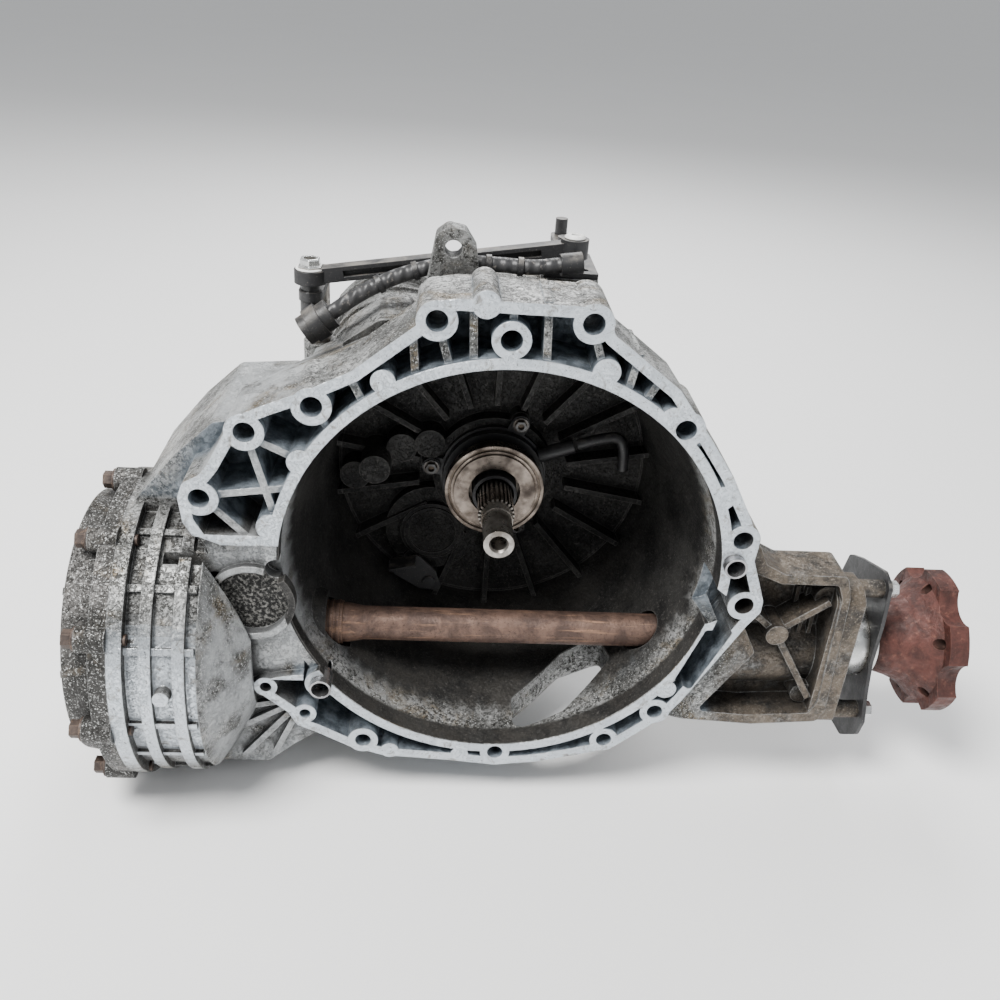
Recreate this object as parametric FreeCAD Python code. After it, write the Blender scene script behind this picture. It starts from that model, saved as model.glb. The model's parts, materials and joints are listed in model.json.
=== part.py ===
import FreeCAD, Part
import math
import os

from FreeCAD import Vector

os.makedirs("parts", exist_ok=True)

# ---------------------------------------------------------------------------
# Driving dimensions, mm.  +X right, +Y back from the engine face, +Z up.
# The origin is the input-shaft axis in the plane of the engine face.
# ---------------------------------------------------------------------------
FACE_DEPTH = 50.0            # straight part of the bell flange
WALL_FRONT = 172.0           # front of the wall behind the clutch
JOINT_Y = 185.0              # joint plane between bell and gear case
BELL_R_FRONT = 155.0         # opening for the flywheel
BELL_R_BACK = 129.0          # same cavity at the back wall
RIM = 7.5                    # width of the machined rims
POCKET_DEPTH = 44.0          # depth of the hollows between the rims
CASE_WALL = 7.0              # wall of the gear case
FIT = 0.05                   # radial clearance of a running fit

# Outline of the engine face as x, z pairs, clockwise from the top left boss.
OUTLINE = [(-63, 182), (-60, 190), (-52, 197), (-39, 199), (34, 198), (48, 197),
           (56, 191), (58, 181), (77, 167), (105, 146), (131, 112), (150, 86),
           (168, 54), (178, 32), (177, 20), (190, -14), (190, -24), (182, -36),
           (145, -107), (136, -121), (121, -135), (97, -156), (71, -164),
           (39, -172), (6, -176), (-30, -172), (-81, -168), (-106, -160),
           (-131, -146), (-146, -139), (-152, -127), (-176, -106), (-186, -70),
           (-204, -48), (-208, -26), (-200, -4), (-204, 14), (-216, 36),
           (-218, 55), (-214, 66), (-203, 72), (-197, 80), (-185, 102),
           (-180, 113), (-171, 118), (-158, 124), (-134, 134), (-104, 149)]
OUTLINE_ROUND = 6.0
# Engine bolt holes: x, z, hole radius, boss radius.
FACE_HOLES = [(-51.7, 184.3, 7.0, 13.0), (-5.3, 173.9, 7.0, 12.5),
              (44.5, 187.0, 7.0, 13.0), (112.7, 118.4, 7.0, 13.0),
              (166.1, 36.2, 7.0, 12.0), (176.7, -18.4, 7.0, 12.0),
              (125.5, -118.8, 6.0, 11.5), (89.5, -148.0, 6.0, 11.0),
              (5.5, -162.8, 6.0, 11.5), (-96.4, -153.0, 6.0, 11.5),
              (-139.7, -127.7, 4.2, 8.5), (-167.8, -103.0, 4.2, 8.5),
              (-128.9, 123.9, 7.0, 13.0), (-171.9, 104.2, 7.0, 13.0),
              (-204.0, 54.7, 7.0, 13.0)]
DOWELS = [(162.8, 17.1), (-127.2, -99.0)]
DOWEL_R_OUT = 8.0
DOWEL_R_IN = 6.5
DOWEL_PROUD = 7.0
DOWEL_SEAT = 12.0
DOWEL_SEAT_R = 7.5
# Round casting pads that tie the two rims together: x, z, radius.
PADS = [(-84.0, 143.0, 8.0), (-22.0, 196.0, 9.0), (56.0, 156.0, 9.0),
        (103.0, 126.0, 8.0), (146.0, 69.0, 9.0), (-137.0, 84.0, 9.0),
        (-158.0, 34.0, 10.0), (131.0, -97.0, 8.0), (-76.0, -163.0, 7.0),
        (-22.0, -166.0, 7.0)]
# Ribs across the hollows: x1, z1, x2, z2.
FACE_RIBS = [(-52, 184, -42, 152), (-5, 174, -5, 190), (44, 187, 54, 157),
             (113, 118, 106, 124), (90, 148, 84, 136), (166, 36, 160, 26),
             (152, 76, 140, 70), (-128, 124, -118, 106), (-172, 104, -154, 36),
             (-204, 55, -140, 64), (-162, 96, -137, 84), (-104, 142, -96, 126),
             (150, -60, 162, -68), (-30, 199, -28, 160), (16, 199, 18, 158),
             (-66, 172, -64, 148), (76, 168, 72, 144), (128, 112, 118, 104),
             (-158, 34, -143, 20), (-204, 55, -168, 18)]
RIB_T = 5.0

# Shafts.
CENTRE_DISTANCE = 75.0
OUT_X = -48.75
OUT_Z = -math.sqrt(CENTRE_DISTANCE ** 2 - OUT_X ** 2)
DIFF_Y = 60.0
DIFF_Z = -86.0
TRANSFER_MODULE = 3.0
TRANSFER_TEETH = (38, 55)
TRANSFER_DISTANCE = TRANSFER_MODULE * sum(TRANSFER_TEETH) / 2
PIN_X = OUT_X - math.sqrt(TRANSFER_DISTANCE ** 2 - (DIFF_Z - OUT_Z) ** 2)
PIN_Z = DIFF_Z

# Gears: module and tooth numbers (input, output) of each ratio.
MODULE = 2.0
RATIOS = {"1": (17, 58), "2": (26, 49), "3": (33, 42), "4": (39, 36),
          "5": (44, 31), "6": (48, 27)}
REVERSE_TEETH = (17, 24, 46)
GEAR_WIDTH = 15.0
HUB_HALF = 7.0
DOG_GAP = 1.5
GEAR_OFFSET = 16.5           # hub centre to the near face of a gear
SLEEVE_HALF = 7.5
DOG_TEETH = 24
DOG_R = 30.0
DOG_ROOT = 27.6
DOG_TIP_R = 27.5               # gear side dogs, just clear of the sleeve
SLEEVE_R = 38.0
GROOVE_R = 34.4
GROOVE_HALF = 3.2
JOURNAL_R = 17.0
COLLAR_R = 21.0
BACKLASH = 0.20
ROOT_FLARE = 1.04            # bevel teeth widen a little below the base circle
TRANSFER_Y = (192.0, 212.0)
HUB_12_Y = 250.0
HUB_R_Y = 303.0
HUB_34_Y = 369.0
HUB_56_Y = 435.0
REAR_WALL_Y = 470.0
CASE_END_Y = 490.0
COVER_END_Y = 512.0
INPUT_CORE_R = 14.0

# Shift rails, on a circle round the output shaft.
RAIL_RING_R = 84.0
RAIL_ANGLES = {"R": 93.0, "12": 109.0, "34": 125.0, "56": 141.0}
RAIL_R = 7.0
RAIL_FRONT_Y = 171.0
RAIL_REAR_Y = 481.0
RAIL_BORE_FRONT = 160.0
FORK_HALF = 2.6
FORK_R_IN = 35.2
FORK_R_OUT = 46.0

# Selector shaft and link.
SEL_X = -146.0
SEL_Y = 207.0
SEL_R = 8.0
LINK_Y = 150.0
LINK_Z_LEFT = 163.0
LINK_Z_RIGHT = 194.0
RELAY_X = 48.0

# Bevel drive.
BEVEL_TEETH = (12, 41)
BEVEL_RADIUS = 80.0          # pitch radius of the crown wheel
BEVEL_FACE = 24.0
CHAMBER_R = 95.0
DRUM_R = 112.0
DRUM_LEFT_X = -262.0
COVER_LEFT_X = -300.0         # end of the cover behind the left flange
COVER_PAN_R = 103.0
COVER_END_T = 7.0
PLANET_TEETH = 10
SIDE_TEETH = 16
SIDE_RADIUS = 23.0
SIDE_FACE = 9.0
DIFF_X = -246.0

# Cross shaft.
CROSS_R = 13.25
FLANGE_R = 58.5
TRUMPET = [(304.0, 24.0), (312.0, 28.0), (322.0, 31.0), (332.0, 35.5), (340.0, 42.0),
           (347.5, 50.0)]


# ---------------------------------------------------------------------------
# Small helpers
# ---------------------------------------------------------------------------
def vec(x, y, z):
    return Vector(x, y, z)


def cyl_y(x, z, radius, y0, y1):
    return Part.makeCylinder(radius, y1 - y0, vec(x, y0, z), vec(0, 1, 0))


def cyl_x(y, z, radius, x0, x1):
    return Part.makeCylinder(radius, x1 - x0, vec(x0, y, z), vec(1, 0, 0))


def cyl_z(x, y, radius, z0, z1):
    return Part.makeCylinder(radius, z1 - z0, vec(x, y, z0), vec(0, 0, 1))


def cone_y(x, z, r0, r1, y0, y1):
    return Part.makeCone(r0, r1, y1 - y0, vec(x, y0, z), vec(0, 1, 0))


def cone_x(y, z, r0, r1, x0, x1):
    return Part.makeCone(r0, r1, x1 - x0, vec(x0, y, z), vec(1, 0, 0))


def block(x0, x1, y0, y1, z0, z1):
    return Part.makeBox(x1 - x0, y1 - y0, z1 - z0, vec(x0, y0, z0))


def ring_y(x, z, r_out, r_in, y0, y1):
    return cyl_y(x, z, r_out, y0, y1).cut(cyl_y(x, z, r_in, y0 - 1, y1 + 1))


def ring_x(y, z, r_out, r_in, x0, x1):
    return cyl_x(y, z, r_out, x0, x1).cut(cyl_x(y, z, r_in, x0 - 1, x1 + 1))


def join(shapes):
    result = shapes[0]
    if len(shapes) > 1:
        result = result.multiFuse(shapes[1:])
    return result.removeSplitter()


def rounded_wire(points, radius):
    """Closed wire of lines and tangent arcs through a list of vectors."""
    count = len(points)
    edges = []
    ends = []
    for i in range(count):
        before = points[i - 1]
        here = points[i]
        after = points[(i + 1) % count]
        to_before = before.sub(here)
        to_after = after.sub(here)
        half = to_before.getAngle(to_after) / 2
        room = 0.45 * min(to_before.Length, to_after.Length)
        reach = min(room, radius / max(math.tan(half), 1e-6))
        if math.pi / 2 - half < 0.01:
            ends.append((here, None, here))
            continue
        start = here.add(Vector(to_before).normalize().multiply(reach))
        end = here.add(Vector(to_after).normalize().multiply(reach))
        arc_r = reach * math.tan(half)
        bisect = Vector(to_before).normalize().add(Vector(to_after).normalize())
        bisect.normalize()
        depth = arc_r / math.sin(half) - arc_r
        ends.append((start, here.add(bisect.multiply(depth)), end))
    for i in range(count):
        start, middle, end = ends[i]
        if middle is not None:
            edges.append(Part.Arc(start, middle, end).toShape())
        follow = ends[(i + 1) % count][0]
        if end.distanceToPoint(follow) > 1e-6:
            edges.append(Part.makeLine(end, follow))
    return Part.Wire(Part.__sortEdges__(edges))


def prism_y(pairs, y0, y1, radius=0.0):
    points = [vec(x, y0, z) for x, z in pairs]
    if radius > 0:
        wire = rounded_wire(points, radius)
    else:
        wire = Part.makePolygon(points + [points[0]])
    return Part.Face(wire).extrude(vec(0, y1 - y0, 0))


def prism_x(pairs, x0, x1, radius=0.0):
    points = [vec(x0, y, z) for y, z in pairs]
    if radius > 0:
        wire = rounded_wire(points, radius)
    else:
        wire = Part.makePolygon(points + [points[0]])
    return Part.Face(wire).extrude(vec(x1 - x0, 0, 0))


def prism_z(pairs, z0, z1, radius=0.0):
    points = [vec(x, y, z0) for x, y in pairs]
    if radius > 0:
        wire = rounded_wire(points, radius)
    else:
        wire = Part.makePolygon(points + [points[0]])
    return Part.Face(wire).extrude(vec(0, 0, z1 - z0))


def bar_y(x1, z1, x2, z2, width, y0, y1):
    """Straight rib between two points of an XZ plane."""
    run = math.hypot(x2 - x1, z2 - z1)
    nx = -(z2 - z1) / run * width / 2
    nz = (x2 - x1) / run * width / 2
    corners = [(x1 + nx, z1 + nz), (x2 + nx, z2 + nz),
               (x2 - nx, z2 - nz), (x1 - nx, z1 - nz)]
    return prism_y(corners, y0, y1)


def polar(x, z, radius, degrees):
    angle = math.radians(degrees)
    return x + radius * math.cos(angle), z + radius * math.sin(angle)


def circle_points(count, start=0.0):
    return [start + 360.0 * i / count for i in range(count)]


def save(name, shapes):
    """Write one part file; several separate solids become one group."""
    if not isinstance(shapes, list):
        shapes = [shapes]
    solids = []
    for shape in shapes:
        solids.extend(shape.Solids)
    result = solids[0] if len(solids) == 1 else Part.makeCompound(solids)
    assert result.isValid(), name
    result.exportStep("parts/" + name + ".step")
    print(name, len(solids), round(result.Volume / 1000, 2))


# ---------------------------------------------------------------------------
# Gear helpers
# ---------------------------------------------------------------------------
def involute_angle(base, radius):
    if radius <= base:
        return 0.0
    ratio = math.sqrt((radius / base) ** 2 - 1)
    return ratio - math.atan(ratio)


def gear_outline(teeth, module, backlash=BACKLASH, addendum=0.94):
    """Points of a spur gear as (angle, radius), one tooth centred on zero."""
    pitch = module * teeth / 2
    base = pitch * math.cos(math.radians(20.0))
    tip = pitch + addendum * module
    root = pitch - 1.22 * module
    half = math.pi / 2 / teeth - backlash / 2 / pitch
    steps = [max(base, root), (max(base, root) + pitch) / 2, pitch,
             (pitch + tip) / 2, tip]
    flank = [(half + involute_angle(base, pitch) - involute_angle(base, r), r)
             for r in steps]
    if base > root:
        flank.insert(0, (flank[0][0], root))
    points = []
    for i in range(teeth):
        middle = 2 * math.pi * i / teeth
        points += [(middle - a, r) for a, r in flank]
        points += [(middle + a, r) for a, r in reversed(flank)]
    return points


def gear_solid(x, z, teeth, module, y0, y1, phase):
    turn = math.radians(phase)
    pairs = [(x + r * math.cos(a + turn), z + r * math.sin(a + turn))
             for a, r in gear_outline(teeth, module)]
    return prism_y(pairs, y0, y1)


def spline_pairs(x, z, count, r_out, r_in, share=0.5):
    """Straight-sided splines: an external profile of r_out over r_in."""
    pairs = []
    step = 360.0 / count
    for i in range(count):
        middle = i * step
        wide = step * share / 2
        for radius, offset in ((r_in, -step / 2), (r_in, -wide * 1.12), (r_out, -wide),
                               (r_out, wide), (r_in, wide * 1.12)):
            pairs.append(polar(x, z, radius, middle + offset))
    return pairs


def mesh_phase(x_from, z_from, x_to, z_to):
    return math.degrees(math.atan2(z_to - z_from, x_to - x_from))


def bevel_tooth_gear(teeth, mate, radius, face, addendum, dedendum, backlash):
    """Bevel gear about +Z, apex at the origin, teeth on the side of +Z.

    Straight teeth with planar faces; flanks come from the equivalent spur
    gear on the back cone and shrink towards the apex.
    """
    cone = math.atan2(teeth, mate)
    length = radius / math.sin(cone)
    back = radius / math.cos(cone)
    module = 2 * radius / teeth
    base = back * math.cos(math.radians(20.0))
    root = back - dedendum * module
    tip = back + addendum * module
    half = math.pi * module / 4 / back - backlash / 2 / back
    steps = [max(root, base), back, tip]
    flank = [(half + involute_angle(base, back) - involute_angle(base, r), r)
             for r in steps]
    if base > root:
        flank.insert(0, (flank[0][0] * ROOT_FLARE, root))
    side = [(-a, r) for a, r in flank] + [(a, r) for a, r in reversed(flank)]

    def place(angle, r, scale, middle):
        spread = angle * back / radius
        off = r - back
        rho = (radius + off * math.cos(cone)) * scale
        height = (length * math.cos(cone) - off * math.sin(cone)) * scale
        return vec(rho * math.cos(middle + spread), rho * math.sin(middle + spread), height)

    outer = []
    inner = []
    shrink = (length - face) / length
    for i in range(teeth):
        middle = 2 * math.pi * i / teeth
        outer.append([place(a, r, 1.0, middle) for a, r in side])
        inner.append([place(a, r, shrink, middle) for a, r in side])
    return outer, inner


def polyhedron(faces):
    shell = Part.Shell([Part.Face(Part.makePolygon(f + [f[0]])) for f in faces])
    solid = Part.Solid(shell)
    if solid.Volume < 0:
        solid.reverse()
    return solid


def triangle_faces(ring_a, ring_b):
    faces = []
    count = len(ring_a)
    for i in range(count):
        j = (i + 1) % count
        faces.append([ring_a[i], ring_a[j], ring_b[j]])
        faces.append([ring_a[i], ring_b[j], ring_b[i]])
    return faces


def bevel_gear(teeth, mate, radius, face, backlash=0.35, bore=0.0, back_depth=6.0):
    """Solid bevel gear about +Z with apex at the origin."""
    outer, inner = bevel_tooth_gear(teeth, mate, radius, face, 0.8, 1.0, backlash)
    ring_outer = [p for tooth in outer for p in tooth]
    ring_inner = [p for tooth in inner for p in tooth]
    count = len(ring_outer)
    lowest_r = min(math.hypot(p.x, p.y) for p in ring_inner)
    inner_z = sum(p.z for p in ring_inner) / count
    outer_top = max(p.z for p in ring_outer)
    hub_r = max(bore, 0.6 * lowest_r)
    centre_in = [vec(hub_r * p.x / math.hypot(p.x, p.y), hub_r * p.y / math.hypot(p.x, p.y),
                     inner_z) for p in ring_inner]
    base_z = outer_top + back_depth
    root_r = min(math.hypot(p.x, p.y) for p in ring_outer)
    base_ring = [vec(root_r * p.x / math.hypot(p.x, p.y), root_r * p.y / math.hypot(p.x, p.y),
                     base_z) for p in ring_outer]
    centre_out = [vec(hub_r * p.x / math.hypot(p.x, p.y), hub_r * p.y / math.hypot(p.x, p.y),
                      base_z) for p in ring_outer]
    faces = triangle_faces(ring_inner, ring_outer)
    faces += triangle_faces(centre_in, ring_inner)
    faces += triangle_faces(ring_outer, base_ring)
    faces += triangle_faces(base_ring, centre_out)
    faces += triangle_faces(centre_out, centre_in)
    return polyhedron(faces), hub_r, inner_z, base_z


def place(shape, origin, x_dir, y_dir, z_dir):
    """Move a shape drawn on local axes to an origin with the given axes."""
    matrix = FreeCAD.Matrix(x_dir[0], y_dir[0], z_dir[0], origin[0],
                            x_dir[1], y_dir[1], z_dir[1], origin[1],
                            x_dir[2], y_dir[2], z_dir[2], origin[2], 0, 0, 0, 1)
    result = shape.copy()
    result.transformShape(matrix)
    return result


def spun(shape, degrees):
    result = shape.copy()
    result.rotate(vec(0, 0, 0), vec(0, 0, 1), degrees)
    return result


AXES_PLUS_Y = ((-1, 0, 0), (0, 0, 1), (0, 1, 0))
AXES_MINUS_X = ((0, 1, 0), (0, 0, -1), (-1, 0, 0))
AXES_PLUS_X = ((0, 1, 0), (0, 0, 1), (1, 0, 0))
AXES_PLUS_Z = ((1, 0, 0), (0, 1, 0), (0, 0, 1))
AXES_MINUS_Z = ((1, 0, 0), (0, -1, 0), (0, 0, -1))


# ---------------------------------------------------------------------------
# Bearings: a cup in the casing and a cone with rollers on the shaft
# ---------------------------------------------------------------------------
RACE_T = 3.6
ROLLER_CLEAR = 0.35


def bearing(r_in, r_out, width, count):
    """Cup and cone about +Z, starting at z = 0."""
    cup_in = r_out - RACE_T
    cone_out = r_in + RACE_T
    cup = Part.makeCylinder(r_out, width).cut(Part.makeCylinder(cup_in, width))
    cone = Part.makeCylinder(cone_out, width).cut(Part.makeCylinder(r_in, width))
    roller_r = (cup_in - ROLLER_CLEAR - cone_out + 0.4) / 2
    middle = cone_out - 0.4 + roller_r
    rollers = []
    for degrees in circle_points(count):
        x, y = polar(0, 0, middle, degrees)
        rollers.append(Part.makeCylinder(roller_r, width - 3.0, vec(x, y, 1.5)))
    return cup, join([cone] + rollers)


def bearing_y(x, z, r_in, r_out, y0, width, count=14):
    cup, cone = bearing(r_in, r_out, width, count)
    spot = (x, y0, z)
    return place(cup, spot, *AXES_PLUS_Y), place(cone, spot, *AXES_PLUS_Y)


def bearing_x(y, z, r_in, r_out, x0, width, count=14):
    cup, cone = bearing(r_in, r_out, width, count)
    spot = (x0, y, z)
    return place(cup, spot, *AXES_PLUS_X), place(cone, spot, *AXES_PLUS_X)


BEARING_W = 14.0
FRONT_BEARING_Y = 174.0
REAR_BEARING_Y = 473.0
IN_BEAR = (14.0, 27.0)
OUT_BEAR = (15.0, 30.0)
PIN_BEAR = (15.0, 29.0)
PIN_FRONT_Y = 152.0
PIN_REAR_Y = 218.0
CARRIER_BEAR = (21.0, 35.0)
CARRIER_RIGHT_X = -187.0
CARRIER_LEFT_X = -290.0
CARRIER_BODY_X = -272.0
CROSS_BEAR = (15.0, 28.0)
CROSS_BEAR_X = 256.0

CUPS = []
CONES = {}


def add_bearing(body, cup_and_cone):
    CUPS.append(cup_and_cone[0])
    CONES.setdefault(body, []).append(cup_and_cone[1])


def make_bearings():
    add_bearing("input", bearing_y(0, 0, *IN_BEAR, FRONT_BEARING_Y, BEARING_W))
    add_bearing("input", bearing_y(0, 0, *IN_BEAR, REAR_BEARING_Y, BEARING_W))
    add_bearing("output", bearing_y(OUT_X, OUT_Z, *OUT_BEAR, FRONT_BEARING_Y, BEARING_W))
    add_bearing("output", bearing_y(OUT_X, OUT_Z, *OUT_BEAR, REAR_BEARING_Y, BEARING_W))
    add_bearing("pinion", bearing_y(PIN_X, PIN_Z, *PIN_BEAR, PIN_FRONT_Y, BEARING_W))
    add_bearing("pinion", bearing_y(PIN_X, PIN_Z, *PIN_BEAR, PIN_REAR_Y, BEARING_W))
    add_bearing("carrier", bearing_x(DIFF_Y, DIFF_Z, *CARRIER_BEAR, CARRIER_RIGHT_X, BEARING_W))
    add_bearing("carrier", bearing_x(DIFF_Y, DIFF_Z, *CARRIER_BEAR, CARRIER_LEFT_X, BEARING_W))
    add_bearing("cross", bearing_x(DIFF_Y, DIFF_Z, *CROSS_BEAR, CROSS_BEAR_X, BEARING_W))


# ---------------------------------------------------------------------------
# Transaxle casing: bell, differential chamber and right-hand bracket
# ---------------------------------------------------------------------------
BELL_BACK_SCALE = 0.82
DRUM_RIBS = (-216.0, -238.0)
DRUM_GUSSETS = (112, 134, 156, 186, 204, 226, 250)
DRUM_BOSS_ANGLE = 172
NECK = [(-210, 36), (-120, 36), (-120, -146), (-150, -168), (-182, -196), (-210, -202)]
NECK_RIB_ROOT = (-140, -118)
NECK_RIB_ENDS = [(-206, -132), (-204, -156), (-188, -176), (-164, -172)]
RECESS = [(-232, 31), (-205, 24.5), (-192, 19), (-140, 19.5), (-120, -88), (-150, -92),
          (-160, -94), (-180, -100), (-232, -104)]
RECESS_Y = 7.0
RIM_BAND = [(152.5, -41), (174, -40), (149.5, -97), (136, -88)]
BRACKET = [(168, 34), (183, 27), (190, 12), (206, 4), (252, 4), (258, -14), (263, -122),
           (258, -132), (205, -136), (150, -132), (118, -124), (118, -60), (158, 0)]
BRACKET_Y = (8.0, 42.0)
BRACKET_POCKET = [(178, 6), (190, 2), (204, -4), (247, -4), (252, -16), (255, -112),
                  (250, -124), (200, -127), (160, -124), (196, -66), (180, -36)]
BRACKET_POCKET_Y = 35.0
BRACKET_RIBS = [(182, -26, 210, -50), (210, -50, 248, -112), (210, -50, 246, -22)]
BRACKET_SLATS = (226.0, 234.0, 242.0)
WINDOW = [(20, 16), (60, 26), (98, 56), (98, 90), (62, 84), (20, 48)]
NOTCH = [(130, 6), (154, -4), (166, -13), (169, -27), (153, -35), (130, -40)]
GUARD_SPOTS = [(-74, -90), (-50, -104)]
GUARD_SEAT_Y = 155.0
SHIELD_BOLTS = [(38, -25), (24, -132), (92, -132)]
RADIAL_RIBS = 18
BLANK_X = -175.0
BLANK_Z = -30.0
BLANK_R = 29.0
RAIL_BOSS_R = 12.5
WALL_SPLIT_R = 127.0           # the back wall is a node of its own inside this radius
SLAVE_BOLT_R = 52.0
SLAVE_BOLT_ANGLES = (68.0, 172.0, 296.0)


def rail_spots():
    return {k: polar(OUT_X, OUT_Z, RAIL_RING_R, a) for k, a in RAIL_ANGLES.items()}


def scaled_outline(scale):
    return [(x * scale, z * scale) for x, z in OUTLINE]


def bell_skin():
    front = prism_y(OUTLINE, 0, FACE_DEPTH, OUTLINE_ROUND)
    sections = []
    for scale, y in ((1.0, FACE_DEPTH), (BELL_BACK_SCALE, WALL_FRONT)):
        points = [vec(x * scale, y, z * scale) for x, z in OUTLINE]
        sections.append(Part.makePolygon(points + [points[0]]))
    taper = Part.makeLoft(sections, True, True)
    back = prism_y(scaled_outline(BELL_BACK_SCALE), WALL_FRONT, JOINT_Y)
    return [front, taper, back]


def back_plate_shapes(extra, y0, y1):
    return [cyl_y(0, 0, 62 + extra, y0, y1), cyl_y(OUT_X, OUT_Z, 66 + extra, y0, y1),
            cyl_y(PIN_X, PIN_Z, 86.5 + extra, y0, y1), cyl_y(-90, -12, 68 + extra, y0, y1),
            bar_y(OUT_X, OUT_Z, PIN_X, PIN_Z, 2 * (66 + extra), y0, y1)]


def drum_shapes():
    drum = cyl_x(DIFF_Y, DIFF_Z, DRUM_R - 4, DRUM_LEFT_X, -205)
    flange = cyl_x(DIFF_Y, DIFF_Z, DRUM_R + 4, DRUM_LEFT_X, DRUM_LEFT_X + 10)
    flare = cone_x(DIFF_Y, DIFF_Z, DRUM_R - 2, 66, -205, -176)
    neck = prism_y(NECK, 11, 150)
    neck = neck.common(cyl_x(DIFF_Y, DIFF_Z, DRUM_R - 1, -211, -117))
    shoulder = prism_y([(-262, 0), (-258, 30), (-228, 66), (-200, 92), (-150, 96), (-140, 0)],
                       40, 150, 8)
    shapes = [drum, flange, flare, neck, shoulder]
    for x, z in NECK_RIB_ENDS:
        shapes.append(bar_y(NECK_RIB_ROOT[0], NECK_RIB_ROOT[1], x, z, 4.5, 6, 40))
    for degrees in DRUM_GUSSETS:
        gusset = block(-255, -206, -2.5, 2.5, 98, DRUM_R - 1)
        gusset.rotate(vec(0, 0, 0), vec(1, 0, 0), degrees - 90)
        gusset.translate(vec(0, DIFF_Y, DIFF_Z))
        shapes.append(gusset)
    angle = math.radians(DRUM_BOSS_ANGLE)
    knob = Part.makeCylinder(5.5, 20, vec(-227, DIFF_Y + 97 * math.cos(angle),
                                          DIFF_Z + 97 * math.sin(angle)),
                             vec(0, math.cos(angle), math.sin(angle)))
    shapes.append(knob)
    for x in DRUM_RIBS:
        shapes.append(cyl_x(DIFF_Y, DIFF_Z, DRUM_R + 1, x - 4, x + 4))
    shapes.append(cyl_y(PIN_X, PIN_Z, 66, 120, JOINT_Y))
    shapes.append(prism_y([(-256, -20), (-200, 14), (-120, 0), (-120, -150), (-190, -158),
                           (-240, -140)], 130, JOINT_Y, 20))
    return shapes


def cover_bolt_spots(radius=DRUM_R - 1):
    spots = []
    for degrees in circle_points(10, 8.0):
        angle = math.radians(degrees)
        spots.append((DIFF_Y + radius * math.cos(angle), DIFF_Z + radius * math.sin(angle)))
    return spots


def casing_bosses():
    shapes = []
    for x, z, _, boss_r in FACE_HOLES:
        shapes.append(cyl_y(x, z, boss_r, 0, FACE_DEPTH))
    for x, z in DOWELS:
        shapes.append(cyl_y(x, z, 12.0, 0, FACE_DEPTH))
    for x, z, pad_r in PADS:
        shapes.append(cyl_y(x, z, pad_r, 0, FACE_DEPTH))
    for x1, z1, x2, z2 in FACE_RIBS:
        shapes.append(bar_y(x1, z1, x2, z2, RIB_T, 3.0, FACE_DEPTH))
    return shapes


def face_pockets():
    outline = Part.Face(rounded_wire([vec(x, 0, z) for x, z in OUTLINE], OUTLINE_ROUND))
    inset = outline.makeOffset2D(-RIM)
    void = inset.extrude(vec(0, POCKET_DEPTH + 1, 0))
    void.translate(vec(0, -1, 0))
    void = void.cut(cyl_y(0, 0, BELL_R_FRONT + RIM, -2, FACE_DEPTH))
    guard = [cyl_y(BLANK_X, BLANK_Z, BLANK_R + 8, -2, FACE_DEPTH)]
    guard.append(block(-230, -140, -2, FACE_DEPTH, -96, 27))
    void = void.cut(guard)
    bosses = casing_bosses()
    void = void.cut(bosses)
    recess = prism_y(RECESS, -1, RECESS_Y)
    recess = recess.cut([cyl_y(-127.2, -99, 12, -2, 9), cyl_y(-167.8, -103, 8.5, -2, 9)])
    return void.fuse([recess, prism_y(RIM_BAND, -1, 40, 3)])


def bell_cavity():
    straight = cyl_y(0, 0, BELL_R_FRONT, -1, 20)
    taper = cone_y(0, 0, BELL_R_FRONT, BELL_R_BACK, 20, WALL_FRONT)
    notch = prism_y(NOTCH, -1, 34, 4)
    return straight.fuse([taper, notch])


def bell_inside():
    """Ribs and bosses on the wall behind the clutch."""
    shapes = [cyl_y(0, 0, 50, 158, JOINT_Y), cyl_y(OUT_X, OUT_Z, 40, 160, JOINT_Y)]
    for degrees in circle_points(RADIAL_RIBS, 10.0):
        x0, z0 = polar(0, 0, 62, degrees)
        x1, z1 = polar(0, 0, 131, degrees)
        shapes.append(bar_y(x0, z0, x1, z1, 4.5, 156, WALL_FRONT + 2))
    for x, z in rail_spots().values():
        shapes.append(cyl_y(x, z, RAIL_BOSS_R, 152, WALL_FRONT + 2))
    shapes.append(cyl_y(OUT_X, OUT_Z, 27, 154, 162))
    shapes.append(ring_y(OUT_X, OUT_Z, 24, 20, 152, 155))
    for x, z in GUARD_SPOTS:
        shapes.append(cyl_y(x, z, 7, GUARD_SEAT_Y, WALL_FRONT + 2))
    first = rail_spots()["34"]
    shapes.append(cyl_y(first[0], first[1], RAIL_BOSS_R, 132, WALL_FRONT + 2))
    for degrees in SLAVE_BOLT_ANGLES:
        x, z = polar(0, 0, SLAVE_BOLT_R, degrees)
        shapes.append(cyl_y(x, z, 8, 158, WALL_FRONT + 2))
    return shapes


def cross_tunnel_shapes():
    left = cyl_x(DIFF_Y, DIFF_Z, 30, -178, -137)
    left = left.fuse(cone_x(DIFF_Y, DIFF_Z, 30, 24, -137, -128))
    right = cyl_x(DIFF_Y, DIFF_Z, 38, 128, 262)
    end = prism_x([(9, -20), (20, -12), (44, -14), (62, -36), (100, -48), (112, -70),
                   (112, -124), (96, -142), (24, -142), (9, -132)], 250, 272, 8)
    web = prism_y([(120, -60), (250, -60), (250, -112), (120, -112)], 40, 104, 6)
    end = end.fuse([cyl_x(y, z, 7.0, 260, 296) for y, z in SHIELD_BOLTS])
    return [left, right.fuse(web), end]


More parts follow.
